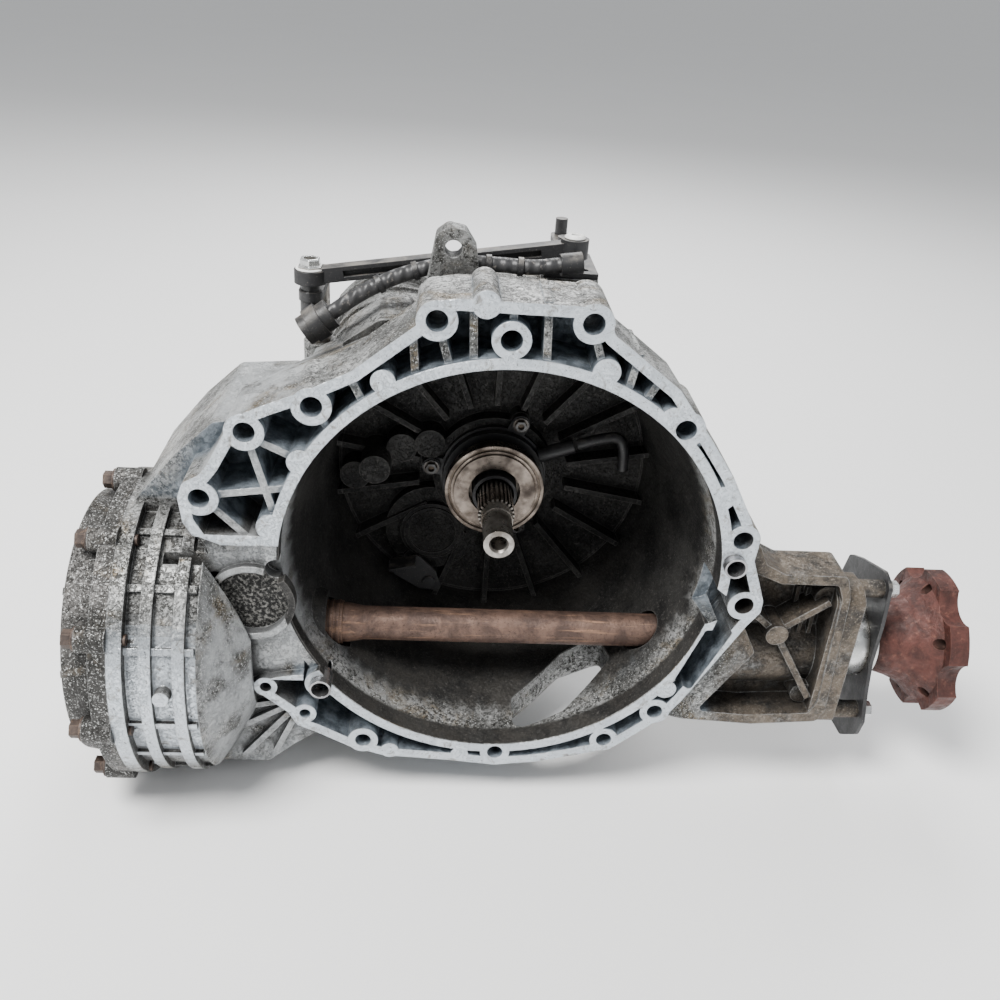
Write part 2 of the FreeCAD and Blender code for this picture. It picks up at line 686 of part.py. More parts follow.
def bracket_void():
    void = prism_y(BRACKET_POCKET, BRACKET_Y[0] - 2, BRACKET_POCKET_Y, 4)
    ribs = [cyl_y(210, -50, 8.5, 6, BRACKET_POCKET_Y)]
    for x1, z1, x2, z2 in BRACKET_RIBS:
        ribs.append(bar_y(x1, z1, x2, z2, 5, 12, BRACKET_POCKET_Y))
    for x in BRACKET_SLATS:
        ribs.append(block(x, x + 3, 30, BRACKET_POCKET_Y, -80, -20))
    ribs.append(cyl_x(DIFF_Y, DIFF_Z, 38, 128, 262))
    ribs.append(cyl_y(246, -22, 9, 20, BRACKET_POCKET_Y))
    ribs.append(cyl_y(246, -114, 9, 20, BRACKET_POCKET_Y))
    return void.cut(ribs)


def top_features():
    lug = prism_y([(-62, 140), (-60, 176), (-54, 212), (-46, 218), (-34, 216), (-26, 204),
                   (-22, 176), (-16, 140)], 96, 112, 5)
    lug = lug.cut(cyl_y(-42, 203, 6.0, 90, 120))
    relay_seat = block(28, 70, 158, JOINT_Y, 118, 168)
    ridge = prism_y([(-122, 96), (-118, 132), (-92, 150), (-70, 152), (-64, 120)], 96, 150, 6)
    return [lug, relay_seat, ridge]


def bearing_bores():
    tools = [cyl_y(0, 0, IN_BEAR[1], FRONT_BEARING_Y, JOINT_Y + 9),
             cyl_y(0, 0, 22, 150, JOINT_Y), cyl_y(OUT_X, OUT_Z, OUT_BEAR[1], FRONT_BEARING_Y, 200),
             cyl_y(OUT_X, OUT_Z, 27, 164, 200),
             cyl_y(PIN_X, PIN_Z, PIN_BEAR[1], PIN_FRONT_Y, PIN_FRONT_Y + BEARING_W),
             cyl_y(PIN_X, PIN_Z, 25, 100, JOINT_Y + 1),
             cyl_y(PIN_X, PIN_Z, 30, 100, 147),
             cyl_x(DIFF_Y, DIFF_Z, CARRIER_BEAR[1], CARRIER_RIGHT_X, -170),
             cyl_x(DIFF_Y, DIFF_Z, 23, -200, -160), cyl_x(DIFF_Y, DIFF_Z, 27, -200, -187),
             cyl_x(DIFF_Y, DIFF_Z, 19.5, -140, -110),
             cyl_x(DIFF_Y, DIFF_Z, 122, -345, DRUM_LEFT_X),
             cyl_x(DIFF_Y, DIFF_Z, 15.5, -180, 290),
             cyl_x(DIFF_Y, DIFF_Z, CROSS_BEAR[1], CROSS_BEAR_X, 290),
             cyl_x(DIFF_Y, DIFF_Z, 20, 140, 258),
             cyl_x(DIFF_Y, DIFF_Z, CHAMBER_R, DRUM_LEFT_X - 1, -196)]
    return tools


# Flange bolts: circle centre x, z, radius and the angles of its bolts.
CASE_BOLTS = [(0, 0, 75, (80, 45, 10, -25, -50)), (OUT_X, OUT_Z, 79, (-40, -75, -105)),
              (PIN_X, PIN_Z, 98.5, (-52, -80, -108, 108, 84)), (-90, -12, 81, (105, 80)),
              (0, 0, 75, (112,))]
REAR_BOLTS = [(0, 0, 66, (80, 40, 0, 112)), (OUT_X, OUT_Z, 77, (-10, -35, -70, -105)),
              (-90, -10, 75, (235, 205, 175, 145, 115, 85))]


def spots_on(circles):
    spots = []
    for x, z, radius, angles in circles:
        spots += [polar(x, z, radius, a) for a in angles]
    return spots


def case_bolt_spots():
    return spots_on(CASE_BOLTS)


def rear_bolt_spots():
    return spots_on(REAR_BOLTS)


def make_clutch_housing():
    shapes = bell_skin() + drum_shapes() + top_features()
    shapes += back_plate_shapes(20, JOINT_Y - 13, JOINT_Y)
    shapes.append(prism_y(BRACKET, BRACKET_Y[0], BRACKET_Y[1], 6))
    body = join(shapes)
    body = body.cut([bell_cavity(), bracket_void()])
    core = body.fuse(bell_inside())
    limit = cyl_y(0, 0, BELL_R_FRONT + 1, -1, WALL_FRONT)
    collar, tunnel, end = cross_tunnel_shapes()
    core = core.fuse([collar, tunnel.cut(limit), end])
    for shape in casing_bosses():
        core = core.fuse(shape.cut(cyl_y(0, 0, BELL_R_FRONT, -1, FACE_DEPTH + 1)))
    tools = [face_pockets()] + bearing_bores()
    for x, z, hole_r, _ in FACE_HOLES:
        tools.append(cyl_y(x, z, hole_r, -1, FACE_DEPTH + 30))
    for x, z in DOWELS:
        tools.append(cyl_y(x, z, DOWEL_SEAT_R, -1, DOWEL_SEAT))
        tools.append(cyl_y(x, z, DOWEL_R_IN, -1, FACE_DEPTH + 30))
    for x, z in rail_spots().values():
        tools.append(cyl_y(x, z, RAIL_R + FIT, RAIL_BORE_FRONT, JOINT_Y + 1))
    tools.append(cyl_y(BLANK_X, BLANK_Z, BLANK_R - 3, -1, RECESS_Y + 2))
    tools.append(cyl_y(-157, -4, 8, -1, 18))
    tools.append(prism_z(WINDOW, -190, -112, 8))
    for degrees in SLAVE_BOLT_ANGLES:
        x, z = polar(0, 0, SLAVE_BOLT_R, degrees)
        tools.append(cyl_y(x, z, 3.0, 150, WALL_FRONT + 6))
    for y, z in SHIELD_BOLTS:
        tools.append(cyl_x(y, z, 4.0, 266, 297))
    for x, z in case_bolt_spots():
        tools.append(cyl_y(x, z, 4.0, JOINT_Y - 12, JOINT_Y + 1))
    for y, z in cover_bolt_spots():
        tools.append(cyl_x(y, z, 4.0, DRUM_LEFT_X - 1, DRUM_LEFT_X + 16))
    core = core.cut(tools[0])
    core = core.fuse(cyl_y(BLANK_X, BLANK_Z, BLANK_R + 2, RECESS_Y - 5, RECESS_Y + 4))
    wall = cyl_y(0, 0, WALL_SPLIT_R, 122, JOINT_Y + 1)
    ring, disc = core.cut(wall), core.common(wall)
    return ring.cut(tools[1:]), disc.cut(tools[1:])



# ---------------------------------------------------------------------------
# Gear case and rear cover
# ---------------------------------------------------------------------------
FLANGE_T = 12.0
IDLER_BOSS_R = 11.4
IDLER_BOSS_Y = (238.0, 316.0)
IDLER_MODULE_R = MODULE * (REVERSE_TEETH[0] + REVERSE_TEETH[1]) / 2
IDLER_MODULE_P = MODULE * (REVERSE_TEETH[1] + REVERSE_TEETH[2]) / 2


def reverse_idler_spot():
    """Centre of the reverse idler, on the side away from the shift rails."""
    base = CENTRE_DISTANCE
    along = (IDLER_MODULE_R ** 2 - IDLER_MODULE_P ** 2 + base ** 2) / (2 * base)
    off = math.sqrt(IDLER_MODULE_R ** 2 - along ** 2)
    ux, uz = OUT_X / base, OUT_Z / base
    return ux * along - uz * off, uz * along + ux * off


def case_shapes(extra, y0, y1):
    idler_x, idler_z = reverse_idler_spot()
    return [cyl_y(0, 0, 55 + extra, y0, y1), cyl_y(OUT_X, OUT_Z, 66 + extra, y0, y1),
            bar_y(0, 0, OUT_X, OUT_Z, 2 * (55 + extra), y0, y1),
            cyl_y(-90, -10, 64 + extra, y0, y1), cyl_y(idler_x, idler_z, 30 + extra, y0, y1)]


TRANSFER_END_Y = 236.0


def make_gear_case():
    outer = case_shapes(CASE_WALL, JOINT_Y, CASE_END_Y)
    outer += back_plate_shapes(7, JOINT_Y, TRANSFER_END_Y)
    outer += back_plate_shapes(20, JOINT_Y, JOINT_Y + FLANGE_T)
    outer += case_shapes(18, CASE_END_Y - FLANGE_T, CASE_END_Y)
    outer.append(cyl_z(SEL_X, SEL_Y, 21.5, -12, 46))
    for y in (262, 300, 338, 376, 414, 452):
        outer += case_shapes(CASE_WALL + 4, y - 3, y + 3)
    body = join(outer)
    inner = [s for s in case_shapes(0, JOINT_Y - 1, REAR_WALL_Y)]
    inner += back_plate_shapes(0, JOINT_Y - 1, PIN_REAR_Y - 2)
    inner.append(cyl_z(SEL_X, SEL_Y, 11, -12, 48))
    inner += [cyl_y(0, 0, IN_BEAR[1], REAR_BEARING_Y, CASE_END_Y + 1),
              cyl_y(OUT_X, OUT_Z, OUT_BEAR[1], REAR_BEARING_Y, CASE_END_Y + 1),
              cyl_y(0, 0, 22, 460, CASE_END_Y), cyl_y(OUT_X, OUT_Z, 22, 460, CASE_END_Y)]
    body = body.cut(inner)
    seat = cyl_y(PIN_X, PIN_Z, 38, PIN_REAR_Y - 2, TRANSFER_END_Y)
    seat = seat.cut([s for s in case_shapes(0, 180, 300)])
    body = body.fuse(seat)
    tools = [cyl_y(PIN_X, PIN_Z, PIN_BEAR[1], PIN_REAR_Y - 3, PIN_REAR_Y + BEARING_W),
             cyl_z(SEL_X, SEL_Y, 11, -12, 48)]
    for x, z in rail_spots().values():
        tools.append(cyl_y(x, z, RAIL_R + FIT, REAR_WALL_Y - 2, CASE_END_Y - 1))
    idler_x, idler_z = reverse_idler_spot()
    for x, z in case_bolt_spots():
        tools.append(cyl_y(x, z, 4.2, JOINT_Y - 1, JOINT_Y + FLANGE_T + 1))
    for x, z in rear_bolt_spots():
        tools.append(cyl_y(x, z, 4.0, CASE_END_Y - 11, CASE_END_Y + 1))
    tools.append(cyl_y(idler_x, idler_z, 8.0 + FIT, IDLER_BOSS_Y[0] - 1, IDLER_BOSS_Y[1] + 1))
    tools.append(cyl_x(330, -40, 8.0, -170, -120))
    tools.append(cyl_y(-49, -108, 8.0, 470, 500))
    boss = join([cyl_x(330, -40, 15, -164, -146).cut(case_shapes(0, 180, 470))])
    body = body.fuse(boss)
    for x, z in case_bolt_spots():
        tools.append(cyl_y(x, z, 7.8, JOINT_Y + FLANGE_T, JOINT_Y + 60))
    support = cyl_y(idler_x, idler_z, IDLER_BOSS_R, IDLER_BOSS_Y[0], IDLER_BOSS_Y[1])
    web = bar_y(idler_x, idler_z, idler_x + 23, idler_z - 30, 16, IDLER_BOSS_Y[0] + 6,
                IDLER_BOSS_Y[1] - 4)
    body = body.fuse([support, web])
    tools.append(block(-400, 200, 100, JOINT_Y, -300, 300))
    tools.append(cyl_z(SEL_X, SEL_Y, 21, 46, 90))
    return body.cut(tools)


def make_rear_cover():
    outer = case_shapes(18, CASE_END_Y, CASE_END_Y + 8) + case_shapes(2, CASE_END_Y, COVER_END_Y)
    for angle in (0, 45, 90, 135):
        x1, z1 = polar(-30, -34, 70, angle)
        x2, z2 = polar(-30, -34, -70, angle)
        outer.append(bar_y(x1, z1, x2, z2, 6, CASE_END_Y, COVER_END_Y + 4))
    body = join(outer)
    tools = [s for s in case_shapes(-6, CASE_END_Y - 1, COVER_END_Y - 7)]
    for x, z in rear_bolt_spots():
        tools.append(cyl_y(x, z, 4.2, CASE_END_Y - 1, COVER_END_Y + 9))
        tools.append(cyl_y(x, z, 8.2, CASE_END_Y + 8, COVER_END_Y + 9))
    tools.append(cyl_y(-49, -108, 10.2, CASE_END_Y - 1, COVER_END_Y + 9))
    return body.cut(tools)


def screw(shank_r, head_r, length, head, socket=True):
    """Flanged screw along +Z: head below z = 0, shank above."""
    shank = Part.makeCylinder(shank_r, length)
    flange = Part.makeCylinder(head_r * 1.3, 1.8, vec(0, 0, -1.8))
    points = [vec(*polar(0, 0, head_r, 60 * i), -head) for i in range(6)]
    hexagon = Part.Face(Part.makePolygon(points + [points[0]])).extrude(vec(0, 0, head))
    body = join([shank, flange, hexagon])
    if socket:
        body = body.cut(Part.makeCylinder(head_r * 0.5, head * 0.5, vec(0, 0, -head)))
    return body


def screws_back(spots, y, shank_r, head_r, length, head):
    """Screws put in from behind: heads towards +Y."""
    tool = screw(shank_r, head_r, length, head)
    axes = ((1, 0, 0), (0, 0, 1), (0, -1, 0))
    return [place(tool, (x, y, z), *axes) for x, z in spots]


def screws_front(spots, y, shank_r, head_r, length, head):
    tool = screw(shank_r, head_r, length, head)
    return [place(tool, (x, y, z), *AXES_PLUS_Y) for x, z in spots]


def screws_left(spots, x, shank_r, head_r, length, head):
    """Screws put in from the left end: heads towards -X."""
    tool = screw(shank_r, head_r, length, head)
    return [place(tool, (x, y, z), *AXES_PLUS_X) for y, z in spots]


# ---------------------------------------------------------------------------
# Differential cover on the left end
# ---------------------------------------------------------------------------
COVER_FLANGE_T = 12.0


def lathe_x(points, y, z):
    """Solid of revolution about an axis along X; the points are x, radius pairs."""
    wire = Part.makePolygon([vec(x, y, z + r) for x, r in points + points[:1]])
    return Part.Face(wire).revolve(vec(0, y, z), vec(1, 0, 0), 360)


def make_differential_cover():
    """Deep pan with a bolted flange, ribs on its end and the left carrier bearing seat."""
    left = DRUM_LEFT_X - COVER_FLANGE_T
    end, end_inside = COVER_LEFT_X, COVER_LEFT_X + COVER_END_T
    pan_back = left + 4.5
    bearing_r, bearing_back = CARRIER_BEAR[1], CARRIER_LEFT_X + BEARING_W
    profile = [(end - 0.5, 24), (end - 0.5, 42), (end + 1.2, 43), (end + 1.2, COVER_PAN_R - 9),
               (end + 3, COVER_PAN_R - 4), (left, COVER_PAN_R), (left, DRUM_R + 4),
               (DRUM_LEFT_X, DRUM_R + 4), (DRUM_LEFT_X, CHAMBER_R), (pan_back, CHAMBER_R),
               (pan_back, 92), (end_inside, 92), (end_inside, 44), (bearing_back, 44),
               (bearing_back, bearing_r), (CARRIER_LEFT_X, bearing_r), (CARRIER_LEFT_X, 24)]
    shapes = [lathe_x(profile, DIFF_Y, DIFF_Z)]
    for degrees in circle_points(10, 26.0):
        rib = block(end, end + 3, -2.5, 2.5, 40, COVER_PAN_R - 10)
        rib.rotate(vec(0, 0, 0), vec(1, 0, 0), degrees - 90)
        rib.translate(vec(0, DIFF_Y, DIFF_Z))
        shapes.append(rib)
    for y, z in cover_bolt_spots():
        boss = cyl_x(y, z, 9.5, left - 8, DRUM_LEFT_X)
        shapes.append(boss.cut(cyl_x(DIFF_Y, DIFF_Z, 93, left - 9, left + 13)))
    body = join(shapes)
    return body.cut([cyl_x(y, z, 4.2, left - 9, DRUM_LEFT_X + 1) for y, z in cover_bolt_spots()])


# ---------------------------------------------------------------------------
# Input and output shafts, gears, synchronisers
# ---------------------------------------------------------------------------
HUB_Y = {"1": (HUB_12_Y, -1), "2": (HUB_12_Y, 1), "3": (HUB_34_Y, -1),
         "4": (HUB_34_Y, 1), "5": (HUB_56_Y, -1), "6": (HUB_56_Y, 1), "R": (HUB_R_Y, 1)}
GEAR_NAMES = {"1": "first", "2": "second", "3": "third", "4": "fourth", "5": "fifth",
              "6": "sixth"}
TO_OUT = mesh_phase(0, 0, OUT_X, OUT_Z)
TO_IN = TO_OUT + 180.0


def gear_span(key):
    hub_y, side = HUB_Y[key]
    near = hub_y + side * GEAR_OFFSET
    far = near + side * GEAR_WIDTH
    return min(near, far), max(near, far)


def make_input_shaft():
    idler_x, idler_z = reverse_idler_spot()
    steps = [(11.5, 43, 76), (12.5, 76, 90), (12.6, 90, 132), (13.4, 132, 174), (14.0, 174, 188),
             (14.6, 188, 214)]
    shapes = [cyl_y(0, 0, r, y0, y1) for r, y0, y1 in steps]
    shapes += [cyl_y(0, 0, INPUT_CORE_R, 213, 487)]
    shapes += [cyl_y(0, 0, 18.0, y0, y1) for y0, y1 in ((240, 262), (286, 312), (466.5, 473))]
    shapes.append(prism_y(spline_pairs(0, 0, 24, 14.2, 12.4), 86, 130))
    shapes.append(gear_solid(0, 0, RATIOS["1"][0], MODULE, *gear_span("1"), TO_OUT))
    shapes.append(gear_solid(0, 0, RATIOS["2"][0], MODULE, *gear_span("2"), TO_OUT))
    shapes.append(gear_solid(0, 0, REVERSE_TEETH[0], MODULE, *gear_span("R"),
                             mesh_phase(0, 0, idler_x, idler_z)))
    body = join(shapes + CONES["input"])
    return body.cut([cyl_y(0, 0, 6.0, 42, 62), cone_y(0, 0, 7.5, 6.0, 42.9, 45)])


def make_input_gears():
    gears = []
    for key in ("3", "4", "5", "6"):
        gear = gear_solid(0, 0, RATIOS[key][0], MODULE, *gear_span(key), TO_OUT)
        y0, y1 = gear_span(key)
        groove = ring_y(0, 0, MODULE * RATIOS[key][0] / 2 - 6, 20, y0 - 1, y0 + 3)
        gears.append(gear.cut([cyl_y(0, 0, INPUT_CORE_R, y0 - 1, y1 + 1), groove]))
    for y0, y1 in ((352.9, 385.1), (400.9, 403.1), (418.9, 451.1)):
        gears.append(ring_y(0, 0, 18.0, INPUT_CORE_R, y0, y1))
    return gears


def make_output_shaft():
    steps = [(15.0, 172, 189), (JOURNAL_R, 189, 471), (15.0, 471, 488), (25.5, 189, 191.6)]
    shapes = [cyl_y(OUT_X, OUT_Z, r, y0, y1) for r, y0, y1 in steps]
    for y0, y1 in ((212.1, 218.1), (281.9, 295.8), (334.9, 337.1), (400.9, 403.1),
                   (466.9, 472.5)):
        shapes.append(cyl_y(OUT_X, OUT_Z, COLLAR_R, y0, y1))
    return join(shapes + CONES["output"] + [transfer_drive_gear()])


def transfer_drive_gear():
    phase = mesh_phase(OUT_X, OUT_Z, PIN_X, PIN_Z)
    gear = gear_solid(OUT_X, OUT_Z, TRANSFER_TEETH[0], TRANSFER_MODULE, *TRANSFER_Y, phase)
    tools = [cyl_y(OUT_X, OUT_Z, JOURNAL_R, 180, 220)]
    for degrees in circle_points(6):
        x, z = polar(OUT_X, OUT_Z, 42, degrees)
        tools.append(cyl_y(x, z, 9, 180, 220))
    return gear.cut(tools)


def transfer_driven_gear():
    phase = mesh_phase(PIN_X, PIN_Z, OUT_X, OUT_Z) + 180.0 / TRANSFER_TEETH[1]
    gear = gear_solid(PIN_X, PIN_Z, TRANSFER_TEETH[1], TRANSFER_MODULE, *TRANSFER_Y, phase)
    tools = [cyl_y(PIN_X, PIN_Z, 15.0, 180, 220)]
    for degrees in circle_points(6):
        x, z = polar(PIN_X, PIN_Z, 42, degrees)
        tools.append(cyl_y(x, z, 9, 180, 220))
    return gear.cut(tools)


def dog_ring(y0, y1, share=0.44):
    pairs = spline_pairs(OUT_X, OUT_Z, DOG_TEETH, DOG_R, DOG_ROOT, share)
    return prism_y(pairs, y0, y1)


def make_speed_gear(key):
    teeth = RATIOS[key][1] if key in RATIOS else REVERSE_TEETH[2]
    phase = TO_IN + 180.0 / teeth
    if key == "R":
        phase = reverse_output_phase()
    y0, y1 = gear_span(key)
    gear = gear_solid(OUT_X, OUT_Z, teeth, MODULE, y0, y1, phase)
    hub_y, side = HUB_Y[key]
    ends = sorted((hub_y + side * (HUB_HALF + DOG_GAP), hub_y + side * GEAR_OFFSET))
    dogs = prism_y(spline_pairs(OUT_X, OUT_Z, DOG_TEETH, DOG_TIP_R, DOG_TIP_R - 2.2, 0.44), *ends)
    body = gear.fuse(dogs)
    tools = [cyl_y(OUT_X, OUT_Z, JOURNAL_R + FIT, y0 - 20, y1 + 20)]
    if teeth > 40:
        for degrees in circle_points(8):
            x, z = polar(OUT_X, OUT_Z, MODULE * teeth / 2 - 10, degrees)
            tools.append(cyl_y(x, z, 4.5, y0 - 1, y1 + 1))
    return body.cut(tools)


def reverse_idler_phase():
    x, z = reverse_idler_spot()
    return mesh_phase(x, z, 0, 0) + 180.0 / REVERSE_TEETH[1]


def reverse_output_phase():
    x, z = reverse_idler_spot()
    toward = mesh_phase(x, z, OUT_X, OUT_Z)
    pitch = 360.0 / REVERSE_TEETH[1]
    ahead = (reverse_idler_phase() - toward) % pitch
    ratio = REVERSE_TEETH[1] / REVERSE_TEETH[2]
    return toward + 180.0 + 180.0 / REVERSE_TEETH[2] - ahead * ratio


def make_reverse_idler():
    x, z = reverse_idler_spot()
    gear = gear_solid(x, z, REVERSE_TEETH[1], MODULE, *gear_span("R"), reverse_idler_phase())
    return join([gear, cyl_y(x, z, 8.0, IDLER_BOSS_Y[0], gear_span("R")[1])])


def make_hubs():
    hubs = []
    for hub_y in (HUB_12_Y, HUB_R_Y, HUB_34_Y, HUB_56_Y):
        hub = dog_ring(hub_y - HUB_HALF, hub_y + HUB_HALF)
        hubs.append(hub.cut(cyl_y(OUT_X, OUT_Z, JOURNAL_R, hub_y - 9, hub_y + 9)))
    return hubs


def make_sleeve(hub_y):
    body = cyl_y(OUT_X, OUT_Z, SLEEVE_R, hub_y - SLEEVE_HALF, hub_y + SLEEVE_HALF)
    groove = ring_y(OUT_X, OUT_Z, SLEEVE_R + 1, GROOVE_R, hub_y - GROOVE_HALF,
                    hub_y + GROOVE_HALF)
    pairs = spline_pairs(OUT_X, OUT_Z, DOG_TEETH, DOG_R + 0.4, DOG_ROOT + 0.4, 0.54)
    bore = prism_y(pairs, hub_y - 10, hub_y + 10)
    return body.cut([groove, bore])


RAIL_HUB = {"R": HUB_R_Y, "12": HUB_12_Y, "34": HUB_34_Y, "56": HUB_56_Y}
LUG_Z = {"R": (30.5, 36.0), "12": (19.5, 27.0), "34": (5.0, 16.0), "56": (-9.0, 1.0)}
SLOT_HALF = 5.15
LUG_HALF = 8.4
SLOT_X = -116.4
LUG_X = -128.5


def make_fork(key):
    x, z = rail_spots()[key]
    angle = RAIL_ANGLES[key]
    hub_y = RAIL_HUB[key]
    y0, y1 = hub_y - FORK_HALF, hub_y + FORK_HALF
    horseshoe = ring_y(OUT_X, OUT_Z, FORK_R_OUT, FORK_R_IN, y0, y1)
    far_x, far_z = polar(OUT_X, OUT_Z, 60, angle)
    keep = bar_y(OUT_X, OUT_Z, far_x, far_z, 120, y0, y1)
    start = polar(OUT_X, OUT_Z, FORK_R_OUT - 3, angle)
    arm = bar_y(start[0], start[1], x, z, 16, y0, y1)
    shapes = [horseshoe.common(keep), arm, cyl_y(x, z, 10.5, hub_y - 8, hub_y + 8),
              cyl_y(x, z, RAIL_R, RAIL_FRONT_Y, RAIL_REAR_Y)]
    z0, z1 = LUG_Z[key]
    lug = block(LUG_X, max(x, SLOT_X + 5), SEL_Y - LUG_HALF, SEL_Y + LUG_HALF, z0, z1)
    slot = block(LUG_X - 1, SLOT_X, SEL_Y - SLOT_HALF, SEL_Y + SLOT_HALF, z0 - 1, z1 + 1)
    if key == "R":
        post = block(x - 4, x + 4, SEL_Y - LUG_HALF, SEL_Y + LUG_HALF, z, z1)
        shapes.append(post)
    body = join(shapes)
    return join([body, lug.cut(slot)])


# ---------------------------------------------------------------------------
# Pinion, crown wheel, differential
# ---------------------------------------------------------------------------
PINION_BACK = 4.0
CROWN_BORE = 36.0
SPIGOT_X = -197.5


def make_pinion_shaft():
    radius = BEVEL_RADIUS * BEVEL_TEETH[0] / BEVEL_TEETH[1]
    gear, _, inner_z, base_z = bevel_gear(BEVEL_TEETH[0], BEVEL_TEETH[1], radius, BEVEL_FACE,
                                          back_depth=PINION_BACK)
    gear = place(gear, (PIN_X, DIFF_Y, PIN_Z), *AXES_PLUS_Y)
    y0 = DIFF_Y + inner_z
    y1 = DIFF_Y + base_z
    core = cyl_y(PIN_X, PIN_Z, 9.0, y0, y1 + 1)
    shapes = [gear, core, cyl_y(PIN_X, PIN_Z, 15.0, y1 - 1, 232),
              cyl_y(PIN_X, PIN_Z, 18.0, y1 - 1, PIN_FRONT_Y)]
    shapes += [cyl_y(PIN_X, PIN_Z, 18.0, 166.2, 191.8), cyl_y(PIN_X, PIN_Z, 18.0, 212.2, 217.8)]
    return join(shapes + CONES["pinion"] + [transfer_driven_gear()])


def make_crown_wheel():
    gear, _, _, base_z = bevel_gear(BEVEL_TEETH[1], BEVEL_TEETH[0], BEVEL_RADIUS,
                                          BEVEL_FACE, bore=CROWN_BORE - 3, back_depth=8.0)
    gear = spun(gear, 180.0 / BEVEL_TEETH[1])
    tools = [Part.makeCylinder(CROWN_BORE, 80, vec(0, 0, 0))]
    for degrees in circle_points(8):
        x, y = polar(0, 0, 46, degrees)
        tools.append(Part.makeCylinder(4.0, 80, vec(x, y, 0)))
    gear = gear.cut(tools)
    return place(gear, (PIN_X, DIFF_Y, PIN_Z), *AXES_MINUS_X), PIN_X - base_z


def make_carrier(back_x):
    shapes = [cyl_x(DIFF_Y, DIFF_Z, 58, back_x - 8, back_x),
              cyl_x(DIFF_Y, DIFF_Z, CROWN_BORE, back_x - 1, SPIGOT_X),
              cyl_x(DIFF_Y, DIFF_Z, CARRIER_BEAR[0], SPIGOT_X - 1, -172.5),
              cyl_x(DIFF_Y, DIFF_Z, 25.0, SPIGOT_X - 1, CARRIER_RIGHT_X - 0.2),
              cyl_x(DIFF_Y, DIFF_Z, 47, CARRIER_BODY_X, back_x - 4),
              cyl_x(DIFF_Y, DIFF_Z, 25.0, CARRIER_LEFT_X + BEARING_W + 0.2, CARRIER_BODY_X + 1),
              cyl_x(DIFF_Y, DIFF_Z, CARRIER_BEAR[0], CARRIER_LEFT_X - 1, CARRIER_BODY_X + 1)]
    body = join(shapes)
    tools = [cyl_x(DIFF_Y, DIFF_Z, 35.5, DIFF_X - 21, DIFF_X + 21),
             cyl_x(DIFF_Y, DIFF_Z, 16.4, -310, -170),
             block(DIFF_X - 20, DIFF_X + 20, DIFF_Y - 60, DIFF_Y + 60, DIFF_Z - 17, DIFF_Z + 17),
             cyl_z(DIFF_X, DIFF_Y, 7.0, DIFF_Z - 60, DIFF_Z + 60)]
    for degrees in circle_points(8):
        angle = math.radians(degrees)
        tools.append(cyl_x(DIFF_Y + 46 * math.cos(angle), DIFF_Z + 46 * math.sin(angle), 4.0,
                           back_x - 30, back_x + 1))
    flange_keep = body.cut(tools[:-8])
    holes = [t.common(cyl_x(DIFF_Y, DIFF_Z, 60, back_x - 9, back_x + 2)) for t in tools[-8:]]
    return join([flange_keep.cut(holes)] + make_crown_bolts(back_x) + CONES["carrier"])


def make_crown_bolts(back_x):
    bolts = []
    for degrees in circle_points(8):
        angle = math.radians(degrees)
        spot = (back_x - 8, DIFF_Y + 46 * math.cos(angle), DIFF_Z + 46 * math.sin(angle))
        tool = Part.makeCylinder(4.0, 22)
        tool = tool.fuse(Part.makeCylinder(6.5, 5, vec(0, 0, -5)))
        bolts.append(place(tool, spot, *AXES_PLUS_X))
    return bolts


def make_planet(up):
    radius = SIDE_RADIUS * PLANET_TEETH / SIDE_TEETH
    gear, _, _, _ = bevel_gear(PLANET_TEETH, SIDE_TEETH, radius, SIDE_FACE, 0.4, 6.0, 4.0)
    gear = spun(gear, 180.0 / PLANET_TEETH)
    gear = gear.cut(Part.makeCylinder(7.0 + FIT, 80))
    axes = AXES_PLUS_Z if up else AXES_MINUS_Z
    return place(gear, (DIFF_X, DIFF_Y, DIFF_Z), *axes)


def make_side_gear(left):
    gear, _, _, base_z = bevel_gear(SIDE_TEETH, PLANET_TEETH, SIDE_RADIUS, SIDE_FACE, 0.4, 8.0, 3.0)
    hub = Part.makeCylinder(16.0, 8.0, vec(0, 0, base_z - 0.5))
    gear = gear.fuse(hub).cut(Part.makeCylinder(10.0, 80))
    axes = AXES_MINUS_X if left else AXES_PLUS_X
    return place(gear, (DIFF_X, DIFF_Y, DIFF_Z), *axes)


def make_differential_pin():
    return cyl_z(DIFF_X, DIFF_Y, 7.0, DIFF_Z - 46, DIFF_Z + 46)


def make_cross_shaft():
    shapes = [cyl_x(DIFF_Y, DIFF_Z, 10.0, DIFF_X + 8, -217),
              cyl_x(DIFF_Y, DIFF_Z, CROSS_R, -218.5, 255.8),
              cyl_x(DIFF_Y, DIFF_Z, 15.0, 255.8, 271), cyl_x(DIFF_Y, DIFF_Z, 17.5, 271, 290),
              cyl_x(DIFF_Y, DIFF_Z, 14.6, -137, -134), cyl_x(DIFF_Y, DIFF_Z, 17.0, -134, -116),
              cyl_x(DIFF_Y, DIFF_Z, 15.6, -116, -112)]
    shapes.append(cone_x(DIFF_Y, DIFF_Z, 15.6, CROSS_R, -112, -100))
    for x in (-130.5, -125.5, -120.5):
        shapes.append(cyl_x(DIFF_Y, DIFF_Z, 17.6, x, x + 2.2))
    return join(shapes + CONES["cross"])


